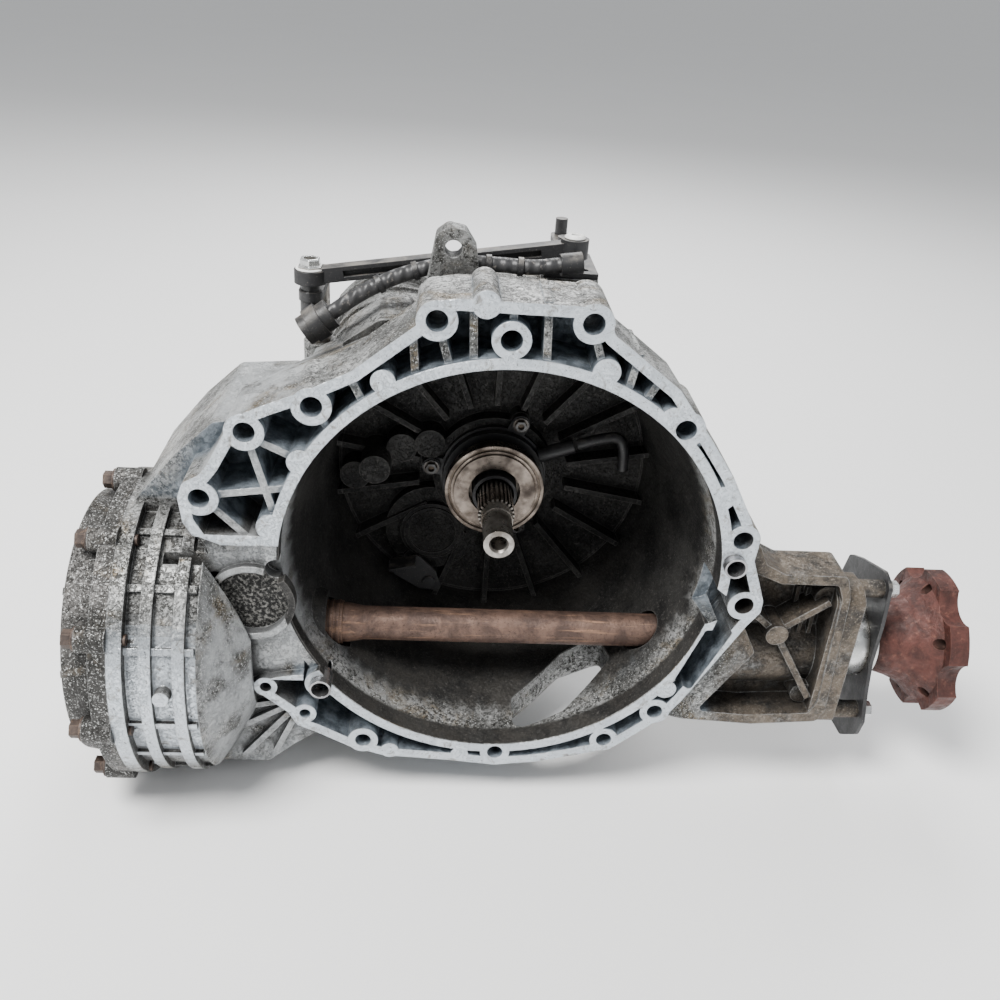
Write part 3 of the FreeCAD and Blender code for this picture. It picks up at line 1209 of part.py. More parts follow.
def make_right_flange():
    """Trumpet-shaped hub and a scalloped disc with one threaded hole in each lobe."""
    shapes = [cyl_x(DIFF_Y, DIFF_Z, 24, 290, 305), cyl_x(DIFF_Y, DIFF_Z, FLANGE_R, 347, 362)]
    for (x0, r0), (x1, r1) in zip(TRUMPET, TRUMPET[1:]):
        shapes.append(cone_x(DIFF_Y, DIFF_Z, r0, r1, x0, x1))
    body = join(shapes)
    tools = [cyl_x(DIFF_Y, DIFF_Z, 15.0, 289, 300), cyl_x(DIFF_Y, DIFF_Z, 33, 354, 363)]
    for degrees in circle_points(6, 30.0):
        hole, gap = math.radians(degrees), math.radians(degrees + 30)
        tools.append(cyl_x(DIFF_Y + 47 * math.cos(hole), DIFF_Z + 47 * math.sin(hole), 4.25,
                           340, 363))
        tools.append(cyl_x(DIFF_Y + 67 * math.cos(gap), DIFF_Z + 67 * math.sin(gap), 18.5,
                           343, 363))
    return body.cut(tools)


def make_left_flange():
    plate_x = COVER_LEFT_X - 11
    shapes = [cyl_x(DIFF_Y, DIFF_Z, 10.0, DIFF_X - 28.5, DIFF_X - 8),
              cyl_x(DIFF_Y, DIFF_Z, 14.0, COVER_LEFT_X, DIFF_X - 27.5),
              cyl_x(DIFF_Y, DIFF_Z, 20.5, plate_x + 8, COVER_LEFT_X + 6),
              cyl_x(DIFF_Y, DIFF_Z, 50, plate_x, plate_x + 9)]
    body = join(shapes)
    tools = [cyl_x(DIFF_Y, DIFF_Z, 30, plate_x - 1, plate_x + 4)]
    for degrees in circle_points(6, 30.0):
        angle = math.radians(degrees)
        tools.append(cyl_x(DIFF_Y + 41 * math.cos(angle), DIFF_Z + 41 * math.sin(angle), 4.25,
                           plate_x - 1, plate_x + 10))
    return body.cut(tools)


# ---------------------------------------------------------------------------
# Clutch release
# ---------------------------------------------------------------------------
def make_slave_cylinder():
    body = ring_y(0, 0, 42.0, 33.0, 146, 152).fuse(ring_y(0, 0, 42, 20.6, 148, 154))
    flange = cyl_y(0, 0, 44, 153.5, 158)
    for degrees in SLAVE_BOLT_ANGLES:
        x, z = polar(0, 0, SLAVE_BOLT_R, degrees)
        flange = flange.fuse([cyl_y(x, z, 7.5, 151, 158), bar_y(0, 0, x, z, 15, 153.5, 158)])
    body = body.fuse(flange)
    inlet = Part.makeCylinder(6.0, 30, vec(36, 149, 22), vec(1, 0, 0.35))
    body = body.fuse([inlet])
    tools = [cyl_y(0, 0, 30.4, 153, 159), cyl_y(0, 0, 20.6, 140, 159)]
    for degrees in SLAVE_BOLT_ANGLES:
        x, z = polar(0, 0, SLAVE_BOLT_R, degrees)
        tools.append(cyl_y(x, z, 3.2, 150, 159))
    tube = ring_y(0, 0, 18.0, 15.4, 118, 158)
    foot = ring_y(0, 0, 31.0, 15.4, 154.4, 158)
    return join([body.cut(tools), tube, foot])


def make_release_bearing():
    """Slides on the guide tube; the front ring turns with the clutch fingers."""
    carrier = ring_y(0, 0, 31.0, 18.05, 136, 146.5).fuse(ring_y(0, 0, 38, 26, 136, 141))
    return carrier


def make_release_ring():
    ring = ring_y(0, 0, 40.0, 26.0, 126, 135.6)
    face = ring_y(0, 0, 33.0, 20.8, 124, 129)
    body = ring.fuse(face)
    return body.cut(ring_y(0, 0, 37.5, 35.5, 125, 127.5))


def tube_along(points, radius):
    """Round line of straight runs joined by the largest tangent arcs."""
    edges = []
    last = points[0]
    for i in range(1, len(points) - 1):
        back = points[i - 1].sub(points[i])
        ahead = points[i + 1].sub(points[i])
        reach = 0.45 * min(back.Length, ahead.Length)
        start = points[i].add(Vector(back).normalize().multiply(reach))
        end = points[i].add(Vector(ahead).normalize().multiply(reach))
        half = back.getAngle(ahead) / 2
        arc_r = reach * math.tan(half)
        bisect = Vector(back).normalize().add(Vector(ahead).normalize())
        bisect.normalize()
        middle = points[i].add(bisect.multiply(arc_r / math.sin(half) - arc_r))
        edges.append(Part.LineSegment(last, start).toShape())
        edges.append(Part.Arc(start, middle, end).toShape())
        print("arc radius", round(arc_r, 1))
        last = end
    edges.append(Part.LineSegment(last, points[-1]).toShape())
    wire = Part.Wire(edges)
    direction = points[1].sub(points[0])
    profile = Part.Wire([Part.makeCircle(radius, points[0], direction)])
    solid = wire.makePipeShell([profile], True, False)
    print("tube", round(solid.Volume), round(wire.Length * math.pi * radius ** 2))
    return solid


def make_hydraulic_pipe():
    points = [vec(67, 149, 33), vec(84, 149, 39), vec(101, 149, 42), vec(106, 149, 30),
              vec(107, 149, 12)]
    return tube_along(points, 4.5)


LOOM = [(-127, 112, 148), (-107, 116, 162), (-83, 121, 174), (-57, 124, 182), (-30, 125, 186),
        (-6, 125, 185.5), (16, 125, 184.5), (36, 127, 187)]


def make_loom():
    return tube_along([vec(*p) for p in LOOM], 5.5)


# ---------------------------------------------------------------------------
# Selector shaft, link and relay lever
# ---------------------------------------------------------------------------
def make_selector_housing():
    shapes = [cyl_z(SEL_X, SEL_Y, 20, 46, 54), cyl_z(SEL_X, SEL_Y, 14, 46, 92)]
    for degrees in (35, 155, 275):
        x, y = polar(SEL_X, SEL_Y, 15.5, degrees)
        shapes.append(cyl_z(x, y, 5.5, 46, 54))
    return join(shapes).cut(cyl_z(SEL_X, SEL_Y, SEL_R + FIT, 40, 95))


def make_selector_shaft():
    shaft = cyl_z(SEL_X, SEL_Y, SEL_R, -3, 146)
    finger = block(SEL_X, -121, SEL_Y - 3, SEL_Y + 3, 7, 14)
    tip = cyl_z(-121.5, SEL_Y, 4.5, 6.5, 14.5)
    hub = cyl_z(SEL_X, SEL_Y, 10.0, -3, 16)
    return join([shaft, finger, tip, hub])


def lever_plate(x, y0, y1, width, z0, z1):
    return join([cyl_z(x, y0, width / 2 + 3, z0, z1), cyl_z(x, y1, width / 2, z0, z1),
                 block(x - width / 2, x + width / 2, min(y0, y1), max(y0, y1), z0, z1)])


def make_selector_lever():
    z0 = LINK_Z_LEFT - 18
    body = lever_plate(SEL_X, SEL_Y, LINK_Y, 18, z0, z0 + 7)
    body = body.cut(cyl_z(SEL_X, SEL_Y, SEL_R, z0 - 1, 146))
    pin = [cyl_z(SEL_X, LINK_Y, 8.0, z0 - 22, z0 + 7.5), cyl_z(SEL_X, LINK_Y, 5.0, z0 + 7, LINK_Z_LEFT + 8),
           cyl_z(SEL_X, LINK_Y, 7.0, z0 + 7, LINK_Z_LEFT - 5.6)]
    return join([body] + pin)


def make_relay_lever():
    z0 = LINK_Z_RIGHT - 18
    body = lever_plate(RELAY_X, SEL_Y, LINK_Y, 16, z0, z0 + 5)
    arm = lever_plate(RELAY_X, SEL_Y, SEL_Y + 34, 16, z0, z0 + 5)
    studs = [cyl_z(RELAY_X, LINK_Y, 4.0, z0, LINK_Z_RIGHT - 1),
             Part.makeSphere(6.0, vec(RELAY_X, LINK_Y, LINK_Z_RIGHT)),
             cyl_z(RELAY_X, SEL_Y + 34, 5.0, z0, z0 + 18)]
    body = join([body, arm] + studs)
    return body.cut(cyl_z(RELAY_X, SEL_Y, 6.0 + FIT, z0 - 5, z0 + 30))


def make_relay_bracket():
    z_top = LINK_Z_RIGHT - 18.4
    plate = block(28, 70, 160, 218, 168, 172)
    post = [cyl_z(RELAY_X, SEL_Y, 12, 168, z_top), cyl_z(RELAY_X, SEL_Y, 6.0, 168, z_top + 12)]
    side = block(28, 33, JOINT_Y + 13, 218, 150, 172)
    body = join([plate, side] + post)
    return body.cut([cyl_z(38, 170, 3.5, 160, 180), cyl_z(60, 170, 3.5, 160, 180)])


def make_link_rod():
    """Slim tapered rod between two eyes, riding on the relay lever pin."""
    left = vec(SEL_X, LINK_Y, LINK_Z_LEFT)
    right = vec(RELAY_X, LINK_Y, LINK_Z_RIGHT)
    run = right.sub(left)
    length = run.Length
    eye_left = cyl_z(SEL_X, LINK_Y, 12, LINK_Z_LEFT - 5, LINK_Z_LEFT + 5)
    eye_right = cyl_z(RELAY_X, LINK_Y, 10.5, LINK_Z_RIGHT - 7, LINK_Z_RIGHT + 7)
    web = Part.makeBox(length, 12, 11, vec(0, -6, -5.5))
    slot_a = Part.makeBox(length - 50, 5, 4.5, vec(25, -6.5, -2.2))
    slot_b = Part.makeBox(length - 50, 5, 4.5, vec(25, 1.5, -2.2))
    web = web.cut([slot_a, slot_b])
    angle = math.degrees(math.atan2(run.z, run.x))
    web.rotate(vec(0, 0, 0), vec(0, 1, 0), -angle)
    web.translate(left)
    body = join([eye_left, eye_right, web])
    socket = Part.makeSphere(6.0 + FIT, right)
    tools = [cyl_z(SEL_X, LINK_Y, 5.0 + FIT, LINK_Z_LEFT - 12, LINK_Z_LEFT + 12), socket,
             cyl_z(RELAY_X, LINK_Y, 4.4, LINK_Z_RIGHT - 12, LINK_Z_RIGHT - 2)]
    return body.cut(tools)


# ---------------------------------------------------------------------------
# Right-hand end: shield plate, sleeve, bolts
# ---------------------------------------------------------------------------
SHIELD = [(28, -17), (42, -12), (84, -26), (102, -34), (110, -60), (112, -86), (106, -118),
          (100, -142), (84, -158), (60, -172), (36, -170), (14, -150), (10, -134), (18, -112),
          (24, -86), (24, -50)]


def make_shield_plate():
    plate = prism_x(SHIELD, 296, 299, 6)
    tools = [cyl_x(DIFF_Y, DIFF_Z, 31.4, 290, 302)]
    for y, z, r in SHIELD_HOLES:
        tools.append(cyl_x(y, z, r, 290, 302))
    return plate.cut(tools)


SHIELD_HOLES = [(38, -25, 4.2), (24, -132, 4.2), (92, -132, 4.2), (50, -148, 3.0),
                (103, -86, 4.0), (100, -60, 3.0)]


def make_shield_bolts():
    tool = screw(3.9, 6.5, 24, 8, socket=False)
    axes = ((0, 1, 0), (0, 0, -1), (-1, 0, 0))
    spots = [(299, y, z) for y, z in SHIELD_BOLTS]
    return [place(tool, spot, *axes) for spot in spots]


def make_guard_plate():
    """Bent sheet guard screwed to the lower left of the bell wall."""
    outline = [(-88, -84), (-60, -78), (-44, -94), (-38, -114), (-58, -112), (-80, -98)]
    plate = prism_y(outline, 148, 150, 5)
    fold = bar_y(-84, -84, -62, -79, 2, 132, 149)
    shapes = [plate, fold]
    for x, z in GUARD_SPOTS:
        shapes.append(cyl_y(x, z, 5.5, 145, GUARD_SEAT_Y))
    return join(shapes)


def make_loom_fittings():
    """Connector body at the left end, plug at the right, ties between."""
    start = vec(*LOOM[0])
    back = start.sub(vec(*LOOM[1])).normalize()
    connector = Part.makeCylinder(11.0, 24, start, back)
    shell = Part.makeCylinder(13.0, 10, start.add(Vector(back).multiply(8)), back)
    last = vec(*LOOM[-1])
    out = last.sub(vec(*LOOM[-2])).normalize()
    plug = Part.makeCylinder(8.0, 16, last, out)
    parts = [join([connector, shell]), plug]
    for i in (1, 2, 4, 5):
        a, b = vec(*LOOM[i]), vec(*LOOM[i + 1])
        run = b.sub(a)
        spot = a.add(Vector(run).multiply(0.5))
        axis = Vector(run).normalize()
        tie = Part.makeCylinder(6.8, 4.0, spot, axis)
        tie = tie.cut(Part.makeCylinder(5.5, 8.0, spot.sub(axis), axis))
        parts.append(tie)
    return parts


def make_case_plugs():
    """Filler plug on the left of the case and drain plug at the rear."""
    filler = join([cyl_x(330, -40, 8.0, -164, -152), cyl_x(330, -40, 12.0, -170, -164)])
    filler = filler.cut(prism_x([polar(330, -40, 5.0, 60 * i) for i in range(6)], -171, -164))
    drain = join([cyl_y(-49, -108, 8.0, 476, 490), cyl_y(-49, -108, 9.8, 490, 516)])
    return [filler, drain]


def make_sleeve_ring():
    return ring_x(DIFF_Y, DIFF_Z, 31.0, 28.2, 272, 304)


def make_shaft_seals():
    return [ring_x(DIFF_Y, DIFF_Z, 28.0, 17.9, 270.6, 280),
            ring_x(DIFF_Y, DIFF_Z, 20.0, 13.6, 141, 148),
            ring_x(DIFF_Y, DIFF_Z, 23.9, 20.9, COVER_LEFT_X, COVER_LEFT_X + 6)]


def make_dowel(x, z):
    proud = ring_y(x, z, DOWEL_R_OUT, DOWEL_R_IN, -DOWEL_PROUD, 0)
    return proud.fuse(ring_y(x, z, DOWEL_SEAT_R, DOWEL_R_IN, 0, DOWEL_SEAT))


def make_all():
    make_bearings()
    housing, back_wall = make_clutch_housing()
    save("clutch_housing", housing)
    save("bell_back_wall", back_wall)
    save("gear_case", make_gear_case())
    save("rear_cover", make_rear_cover())
    save("differential_cover", make_differential_cover())
    save("bearing_cups", CUPS)
    save("input_shaft", make_input_shaft())
    save("input_gears", make_input_gears())
    save("output_shaft", make_output_shaft())
    save("synchro_hubs", make_hubs())
    for key, word in GEAR_NAMES.items():
        save(word + "_speed_gear", make_speed_gear(key))
    save("reverse_speed_gear", make_speed_gear("R"))
    save("reverse_idler_gear", make_reverse_idler())
    for key in ("12", "34", "56", "R"):
        word = key.lower()
        save("shift_sleeve_" + word, make_sleeve(RAIL_HUB[key]))
        save("shift_fork_" + word, make_fork(key))
    save("pinion_shaft", make_pinion_shaft())
    crown, back_x = make_crown_wheel()
    save("crown_wheel", crown)
    save("differential_carrier", make_carrier(back_x))
    save("differential_pin", make_differential_pin())
    save("planet_gear_upper", make_planet(True))
    save("planet_gear_lower", make_planet(False))
    save("side_gear_left", make_side_gear(True))
    save("side_gear_right", make_side_gear(False))
    save("cross_shaft", make_cross_shaft())
    save("drive_flange_right", make_right_flange())
    save("drive_flange_left", make_left_flange())
    save("slave_cylinder", make_slave_cylinder())
    save("release_bearing", make_release_bearing())
    save("release_bearing_ring", make_release_ring())
    save("hydraulic_pipe", make_hydraulic_pipe())
    save("wiring_loom", make_loom())
    save("selector_housing", make_selector_housing())
    save("selector_shaft", make_selector_shaft())
    save("selector_lever", make_selector_lever())
    save("relay_lever", make_relay_lever())
    save("relay_bracket", make_relay_bracket())
    save("link_rod", make_link_rod())
    save("shield_plate", make_shield_plate())
    save("shield_bolts", make_shield_bolts())
    save("guard_plate", make_guard_plate())
    save("loom_fittings", make_loom_fittings())
    save("case_plugs", make_case_plugs())
    save("zinc_sleeve", make_sleeve_ring())
    save("shaft_seals", make_shaft_seals())
    save("dowel_sleeves", [make_dowel(x, z) for x, z in DOWELS])
    save("case_bolts", screws_back(case_bolt_spots(), JOINT_Y + FLANGE_T, 3.9, 5.6, 22, 7))
    save("rear_cover_bolts", screws_back(rear_bolt_spots(), CASE_END_Y + 8, 3.9, 5.6, 17, 6))
    save("differential_cover_bolts",
         screws_left(cover_bolt_spots(), DRUM_LEFT_X - COVER_FLANGE_T - 8, 3.9, 6.5, 32, 9))
    spots = [polar(0, 0, SLAVE_BOLT_R, a) for a in SLAVE_BOLT_ANGLES]
    save("slave_bolts", screws_front(spots, 151, 2.9, 5.0, 20, 5))


make_all()
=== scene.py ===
"""Looks of the manual transaxle: materials, small trim, light and camera."""

import json
import math

import bmesh
import bpy
from mathutils import Matrix, Vector


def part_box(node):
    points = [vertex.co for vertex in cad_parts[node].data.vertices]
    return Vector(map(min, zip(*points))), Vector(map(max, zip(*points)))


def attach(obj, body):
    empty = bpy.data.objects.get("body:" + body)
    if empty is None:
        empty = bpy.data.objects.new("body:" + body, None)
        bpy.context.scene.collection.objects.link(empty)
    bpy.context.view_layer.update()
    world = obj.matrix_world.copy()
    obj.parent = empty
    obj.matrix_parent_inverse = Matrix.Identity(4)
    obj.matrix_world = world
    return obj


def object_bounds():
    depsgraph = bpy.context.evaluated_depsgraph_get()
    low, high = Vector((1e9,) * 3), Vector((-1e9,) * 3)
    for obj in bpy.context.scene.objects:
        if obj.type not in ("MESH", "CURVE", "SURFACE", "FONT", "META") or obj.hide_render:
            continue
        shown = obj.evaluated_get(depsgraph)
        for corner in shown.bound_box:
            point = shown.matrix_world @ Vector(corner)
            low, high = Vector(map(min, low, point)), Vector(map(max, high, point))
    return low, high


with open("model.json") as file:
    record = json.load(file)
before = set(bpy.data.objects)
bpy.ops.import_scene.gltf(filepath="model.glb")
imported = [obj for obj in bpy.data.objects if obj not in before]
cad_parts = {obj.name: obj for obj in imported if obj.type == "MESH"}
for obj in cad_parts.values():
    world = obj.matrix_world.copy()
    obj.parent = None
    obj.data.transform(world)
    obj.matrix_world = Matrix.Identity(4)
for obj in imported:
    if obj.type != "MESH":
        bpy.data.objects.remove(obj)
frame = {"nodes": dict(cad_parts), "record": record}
CAD_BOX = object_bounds()
NODES = frame["nodes"]
MM = 0.001

# Camera: where it stands, the way it looks and its roll.
CAMERA_AT = Vector((-53.32, -583.7, 386.0)) * MM
CAMERA_YAW, CAMERA_PITCH, CAMERA_ROLL = 4.71, 28.97, 4.34
CAMERA_LENS, CAMERA_SENSOR = 36.0, 36.0

# Places in the casing that the dirt, the painted pocket shade, the dark bell inside and the
# machining follow, in metres.
BELL_FRONT_R = 0.1565           # radius of the bell's wall at the engine face
BELL_SLOPE = 0.151              # how much that radius shrinks for each metre of depth
BELL_MARGIN = 0.0015            # the dark inside colour reaches this far into the wall
BELL_MOUTH = (0.0008, 0.0016)   # the dark inside colour starts behind the machined rim
WALL_Y = 0.176                  # depth at which the dark inside colour ends
FACE_SKIN = (0.0004, 0.0009)    # depth of the milled skin of the engine face
POCKET_Y = (0.044, 0.052)       # depth of the pockets between the rims; the painted pocket shade ends here
BLANK = (-0.175, -0.030)        # x and z of the round cast blank
BLANK_EDGE = (0.0255, 0.0268)
BRACKET_X = 0.175               # the right bracket starts here
WEB_LEFT, WEB_RIGHT = (-0.207, -0.197), (-0.150, -0.130)
DRUM_EDGE = (-0.150, 0.030)     # the drum lies left of this x and below this z

# Shift link: height of its two ends and the radius of its two eyes, in metres.
LINK_Y = 0.150
LINK_LEFT_Z, LINK_RIGHT_Z = 0.163, 0.194
EYE_LEFT_R, EYE_RIGHT_R = 0.012, 0.0105

FLOOR_HALF = 60.0
FLOOR_GAP = 0.0005

# Colours that several castings share.
PIT = (0.016, 0.015, 0.013)
# Pale grain speck colour, partly a painted glint.
GRAIN_GLINT = (0.66, 0.67, 0.66)


# ---------------------------------------------------------------------------
# Material graphs
# ---------------------------------------------------------------------------
class Graph:
    """A node material under construction, with one Principled shader."""

    def __init__(self, name):
        self.material = bpy.data.materials.new(name)
        self.material.use_nodes = True
        self.tree = self.material.node_tree
        self.shader = self.tree.nodes["Principled BSDF"]
        self.coords = self.add("ShaderNodeTexCoord").outputs["Object"]
        self.geometry = self.add("ShaderNodeNewGeometry")

    def add(self, kind, **settings):
        node = self.tree.nodes.new(kind)
        for key, value in settings.items():
            setattr(node, key, value)
        return node

    def put(self, socket, value):
        if isinstance(value, bpy.types.NodeSocket):
            self.tree.links.new(value, socket)
        elif isinstance(value, tuple) and len(value) == 3 and socket.type == "RGBA":
            socket.default_value = (*value, 1.0)
        else:
            socket.default_value = value

    def math(self, operation, a, b=0.5, clamp=False):
        node = self.add("ShaderNodeMath", operation=operation, use_clamp=clamp)
        self.put(node.inputs[0], a)
        self.put(node.inputs[1], b)
        return node.outputs[0]

    def axes(self, vector=None):
        node = self.add("ShaderNodeSeparateXYZ")
        self.put(node.inputs[0], vector or self.coords)
        return node.outputs

    def stretched(self, x, y, z):
        node = self.add("ShaderNodeVectorMath", operation="MULTIPLY")
        self.put(node.inputs[0], self.coords)
        node.inputs[1].default_value = (x, y, z)
        return node.outputs[0]

    def noise(self, scale, detail=4.0, rough=0.55, vector=None, twist=0.0):
        node = self.add("ShaderNodeTexNoise")
        self.put(node.inputs["Vector"], vector or self.coords)
        node.inputs["Scale"].default_value = scale
        node.inputs["Detail"].default_value = detail
        node.inputs["Roughness"].default_value = rough
        node.inputs["Distortion"].default_value = twist
        return node.outputs["Fac"]

    def band(self, value, low, high, a=0.0, b=1.0):
        """a below low, b above high, smooth between."""
        node = self.add("ShaderNodeMapRange", interpolation_type="SMOOTHSTEP")
        self.put(node.inputs["Value"], value)
        node.inputs["From Min"].default_value = low
        node.inputs["From Max"].default_value = high
        node.inputs["To Min"].default_value = a
        node.inputs["To Max"].default_value = b
        return node.outputs["Result"]

    def mix(self, factor, a, b):
        node = self.add("ShaderNodeMix", data_type="RGBA")
        self.put(node.inputs["Factor"], factor)
        self.put(node.inputs["A"], a)
        self.put(node.inputs["B"], b)
        return node.outputs["Result"]

    def blend(self, factor, a, b):
        node = self.add("ShaderNodeMix", data_type="FLOAT")
        self.put(node.inputs[0], factor)
        self.put(node.inputs[2], a)
        self.put(node.inputs[3], b)
        return node.outputs[0]

    def shade(self, distance):
        node = self.add("ShaderNodeAmbientOcclusion", samples=8)
        node.inputs["Distance"].default_value = distance
        return node.outputs["AO"]

    def rounded(self, radius):
        node = self.add("ShaderNodeBevel", samples=4)
        node.inputs["Radius"].default_value = radius
        return node.outputs["Normal"]

    def edges(self, radius):
        """1 on sharp edges, 0 on flat faces."""
        soft = self.rounded(radius)
        node = self.add("ShaderNodeVectorMath", operation="DOT_PRODUCT")
        self.put(node.inputs[0], soft)
        self.put(node.inputs[1], self.geometry.outputs["True Normal"])
        return self.band(node.outputs["Value"], 0.80, 0.99, 1.0, 0.0)

    def bump(self, height, distance, strength=1.0, normal=None):
        node = self.add("ShaderNodeBump")
        self.put(node.inputs["Height"], height)
        node.inputs["Distance"].default_value = distance
        node.inputs["Strength"].default_value = strength
        if normal is not None:
            self.put(node.inputs["Normal"], normal)
        return node.outputs["Normal"]

    def finish(self, color, rough, metal, normal=None):
        self.put(self.shader.inputs["Base Color"], color)
        self.put(self.shader.inputs["Roughness"], rough)
        self.put(self.shader.inputs["Metallic"], metal)
        if normal is not None:
            self.put(self.shader.inputs["Normal"], normal)
        return self.material


def cast_layers(g, light, dark, stain, stain_share=0.5, grain=1.0):
    """Weathered sand-cast aluminium: colour, roughness and normal."""
    clouds = g.noise(16, 5, 0.6)
    patches = g.noise(55, 6, 0.65, twist=0.4)
    grains = g.noise(330, 4, 0.8)
    color = g.mix(g.band(clouds, 0.38, 0.62), dark, light)
    color = g.mix(g.band(patches, 0.50, 0.66, 0.0, 0.7), color, dark)
    stains = g.band(g.noise(24, 6, 0.7, twist=0.8), 0.50, 0.66, 0.0, stain_share)
    color = g.mix(stains, color, stain)
    pits = g.math("MULTIPLY", g.band(grains, 0.49, 0.56), g.band(patches, 0.34, 0.56, 0.35, 1.0))
    color = g.mix(g.math("MULTIPLY", pits, 0.88), color, PIT)
    # Pale specks on the grain, partly painted glints.
    grain_glint = g.band(g.noise(760, 2, 0.65), 0.57, 0.66, 0.0, 0.75)
    color = g.mix(grain_glint, color, GRAIN_GLINT)
    height = g.math("SUBTRACT", g.math("MULTIPLY", g.noise(170, 3, 0.6), 1.6), pits)
    normal = g.bump(height, 0.0008 * grain, 0.9, g.rounded(0.0016))
    rough = g.band(g.noise(120, 4), 0.3, 0.7, 0.38, 0.66)
    return color, rough, normal


# Painted shade: darkens the colour towards a dark tint where ambient occlusion finds corners and
# recesses.
def painted_crevice_shade(g, color, distance, share, shade_tint=(0.014, 0.013, 0.012)):
    dirt_and_shade = g.band(g.shade(distance), 0.35, 0.95, share, 0.0)
    return g.mix(dirt_and_shade, color, shade_tint)


def distance_from(g, a, b, at=(0.0, 0.0)):
    """Distance of two coordinates from a point in their plane."""
    a, b = g.math("SUBTRACT", a, at[0]), g.math("SUBTRACT", b, at[1])
    return g.math("SQRT", g.math("ADD", g.math("MULTIPLY", a, a), g.math("MULTIPLY", b, b)))


def drum_web(g, x, color):
    """Smooth pale skin of the neck between the drum and the bell."""
    skin = g.mix(g.noise(70, 4), (0.28, 0.29, 0.295), (0.58, 0.60, 0.615))
    web = g.math("MULTIPLY", g.band(x, *WEB_LEFT), g.band(x, *WEB_RIGHT, 1.0, 0.0))
    web = g.math("MULTIPLY", web, g.band(g.noise(34, 5), 0.34, 0.52))
    return g.mix(g.math("MULTIPLY", web, 0.85), color, skin)


def bracket_dirt(g, x, color):
    """Oily road dirt on the arm that carries the right drive flange."""
    mud = g.mix(g.band(g.noise(60, 6, 0.7, twist=0.6), 0.36, 0.62), (0.035, 0.030, 0.026),
                (0.15, 0.12, 0.09))
    mud = g.mix(g.band(g.noise(480, 3, 0.75), 0.56, 0.64, 0.0, 0.6), mud, (0.34, 0.30, 0.25))
    share = g.math("MULTIPLY", g.band(x, BRACKET_X - 0.01, BRACKET_X + 0.01),
                   g.band(g.noise(30, 6, 0.7), 0.32, 0.48, 0.45, 0.92))
    return g.mix(share, color, mud)


def painted_pocket_shade(g, x, y, z, color):
    """Painted blue-grey shade on the skin of the pockets between the machined rims."""
    pocket_shade = g.math("MULTIPLY", g.band(g.shade(0.045), 0.55, 0.88, 1.0, 0.0),
                    g.band(y, *POCKET_Y, 1.0, 0.0))
    pocket_shade = g.math("MULTIPLY", pocket_shade, g.band(x, BRACKET_X - 0.01, BRACKET_X, 1.0, 0.0))
    off_drum = g.math("MAXIMUM", g.math("SUBTRACT", x, DRUM_EDGE[0]),
                      g.math("SUBTRACT", z, DRUM_EDGE[1]))
    pocket_shade = g.math("MULTIPLY", pocket_shade, g.band(off_drum, 0.0, 0.006))
    shade_blue = g.mix(g.band(g.noise(90, 5), 0.3, 0.7), (0.07, 0.09, 0.11), (0.33, 0.38, 0.43))
    return g.mix(g.math("MULTIPLY", pocket_shade, 0.85), color, shade_blue)


def bell_inside_dark(g, x, y, z, nz, color):
    """Near-black colour inside the bell, paler on ledges and rib edges; colour and mask."""
    wall = g.math("ADD", g.math("MULTIPLY", y, -BELL_SLOPE),
                  BELL_FRONT_R + BELL_MARGIN)
    inside = g.band(g.math("SUBTRACT", wall, distance_from(g, x, z)), 0.0, 0.0006)
    inside = g.math("MULTIPLY", inside, g.band(y, *BELL_MOUTH))
    inside = g.math("MULTIPLY", inside, g.band(y, WALL_Y, WALL_Y + 0.001, 1.0, 0.0))
    inside_dark = g.mix(g.band(g.noise(26, 6, 0.65), 0.38, 0.66), (0.006, 0.006, 0.006),
                 (0.035, 0.034, 0.032))
    inside_dark = g.mix(g.band(g.noise(480, 3, 0.75), 0.57, 0.66, 0.0, 0.5), inside_dark, (0.15, 0.14, 0.13))
    ledge = g.math("MULTIPLY", g.band(nz, 0.25, 0.9), g.band(g.noise(45, 5, 0.7), 0.38, 0.62))
    inside_dark = g.mix(g.math("MULTIPLY", ledge, 0.6), inside_dark, (0.045, 0.041, 0.036))
    inside_dark = g.mix(g.math("MULTIPLY", g.edges(0.0016), 0.5), inside_dark, (0.26, 0.25, 0.24))
    return g.mix(inside, color, inside_dark), inside


def machined_face(g, y, ny, color):
    """Milled engine face with fretting marks and stains; colour and mask."""
    face = g.math("MULTIPLY", g.band(y, *FACE_SKIN, 1.0, 0.0),
                  g.band(ny, -0.95, -0.8, 1.0, 0.0))
    bright = g.mix(g.noise(40, 6, 0.6), (0.46, 0.51, 0.56), (0.76, 0.81, 0.86))
    marks = g.band(g.noise(75, 7, 0.75, twist=1.2), 0.53, 0.66, 0.0, 0.75)
    bright = g.mix(marks, bright, (0.22, 0.20, 0.17))
    nicks = g.band(g.noise(420, 3, 0.75), 0.60, 0.66, 0.0, 0.7)
    bright = g.mix(nicks, bright, (0.10, 0.10, 0.10))
    return g.mix(face, color, bright), face


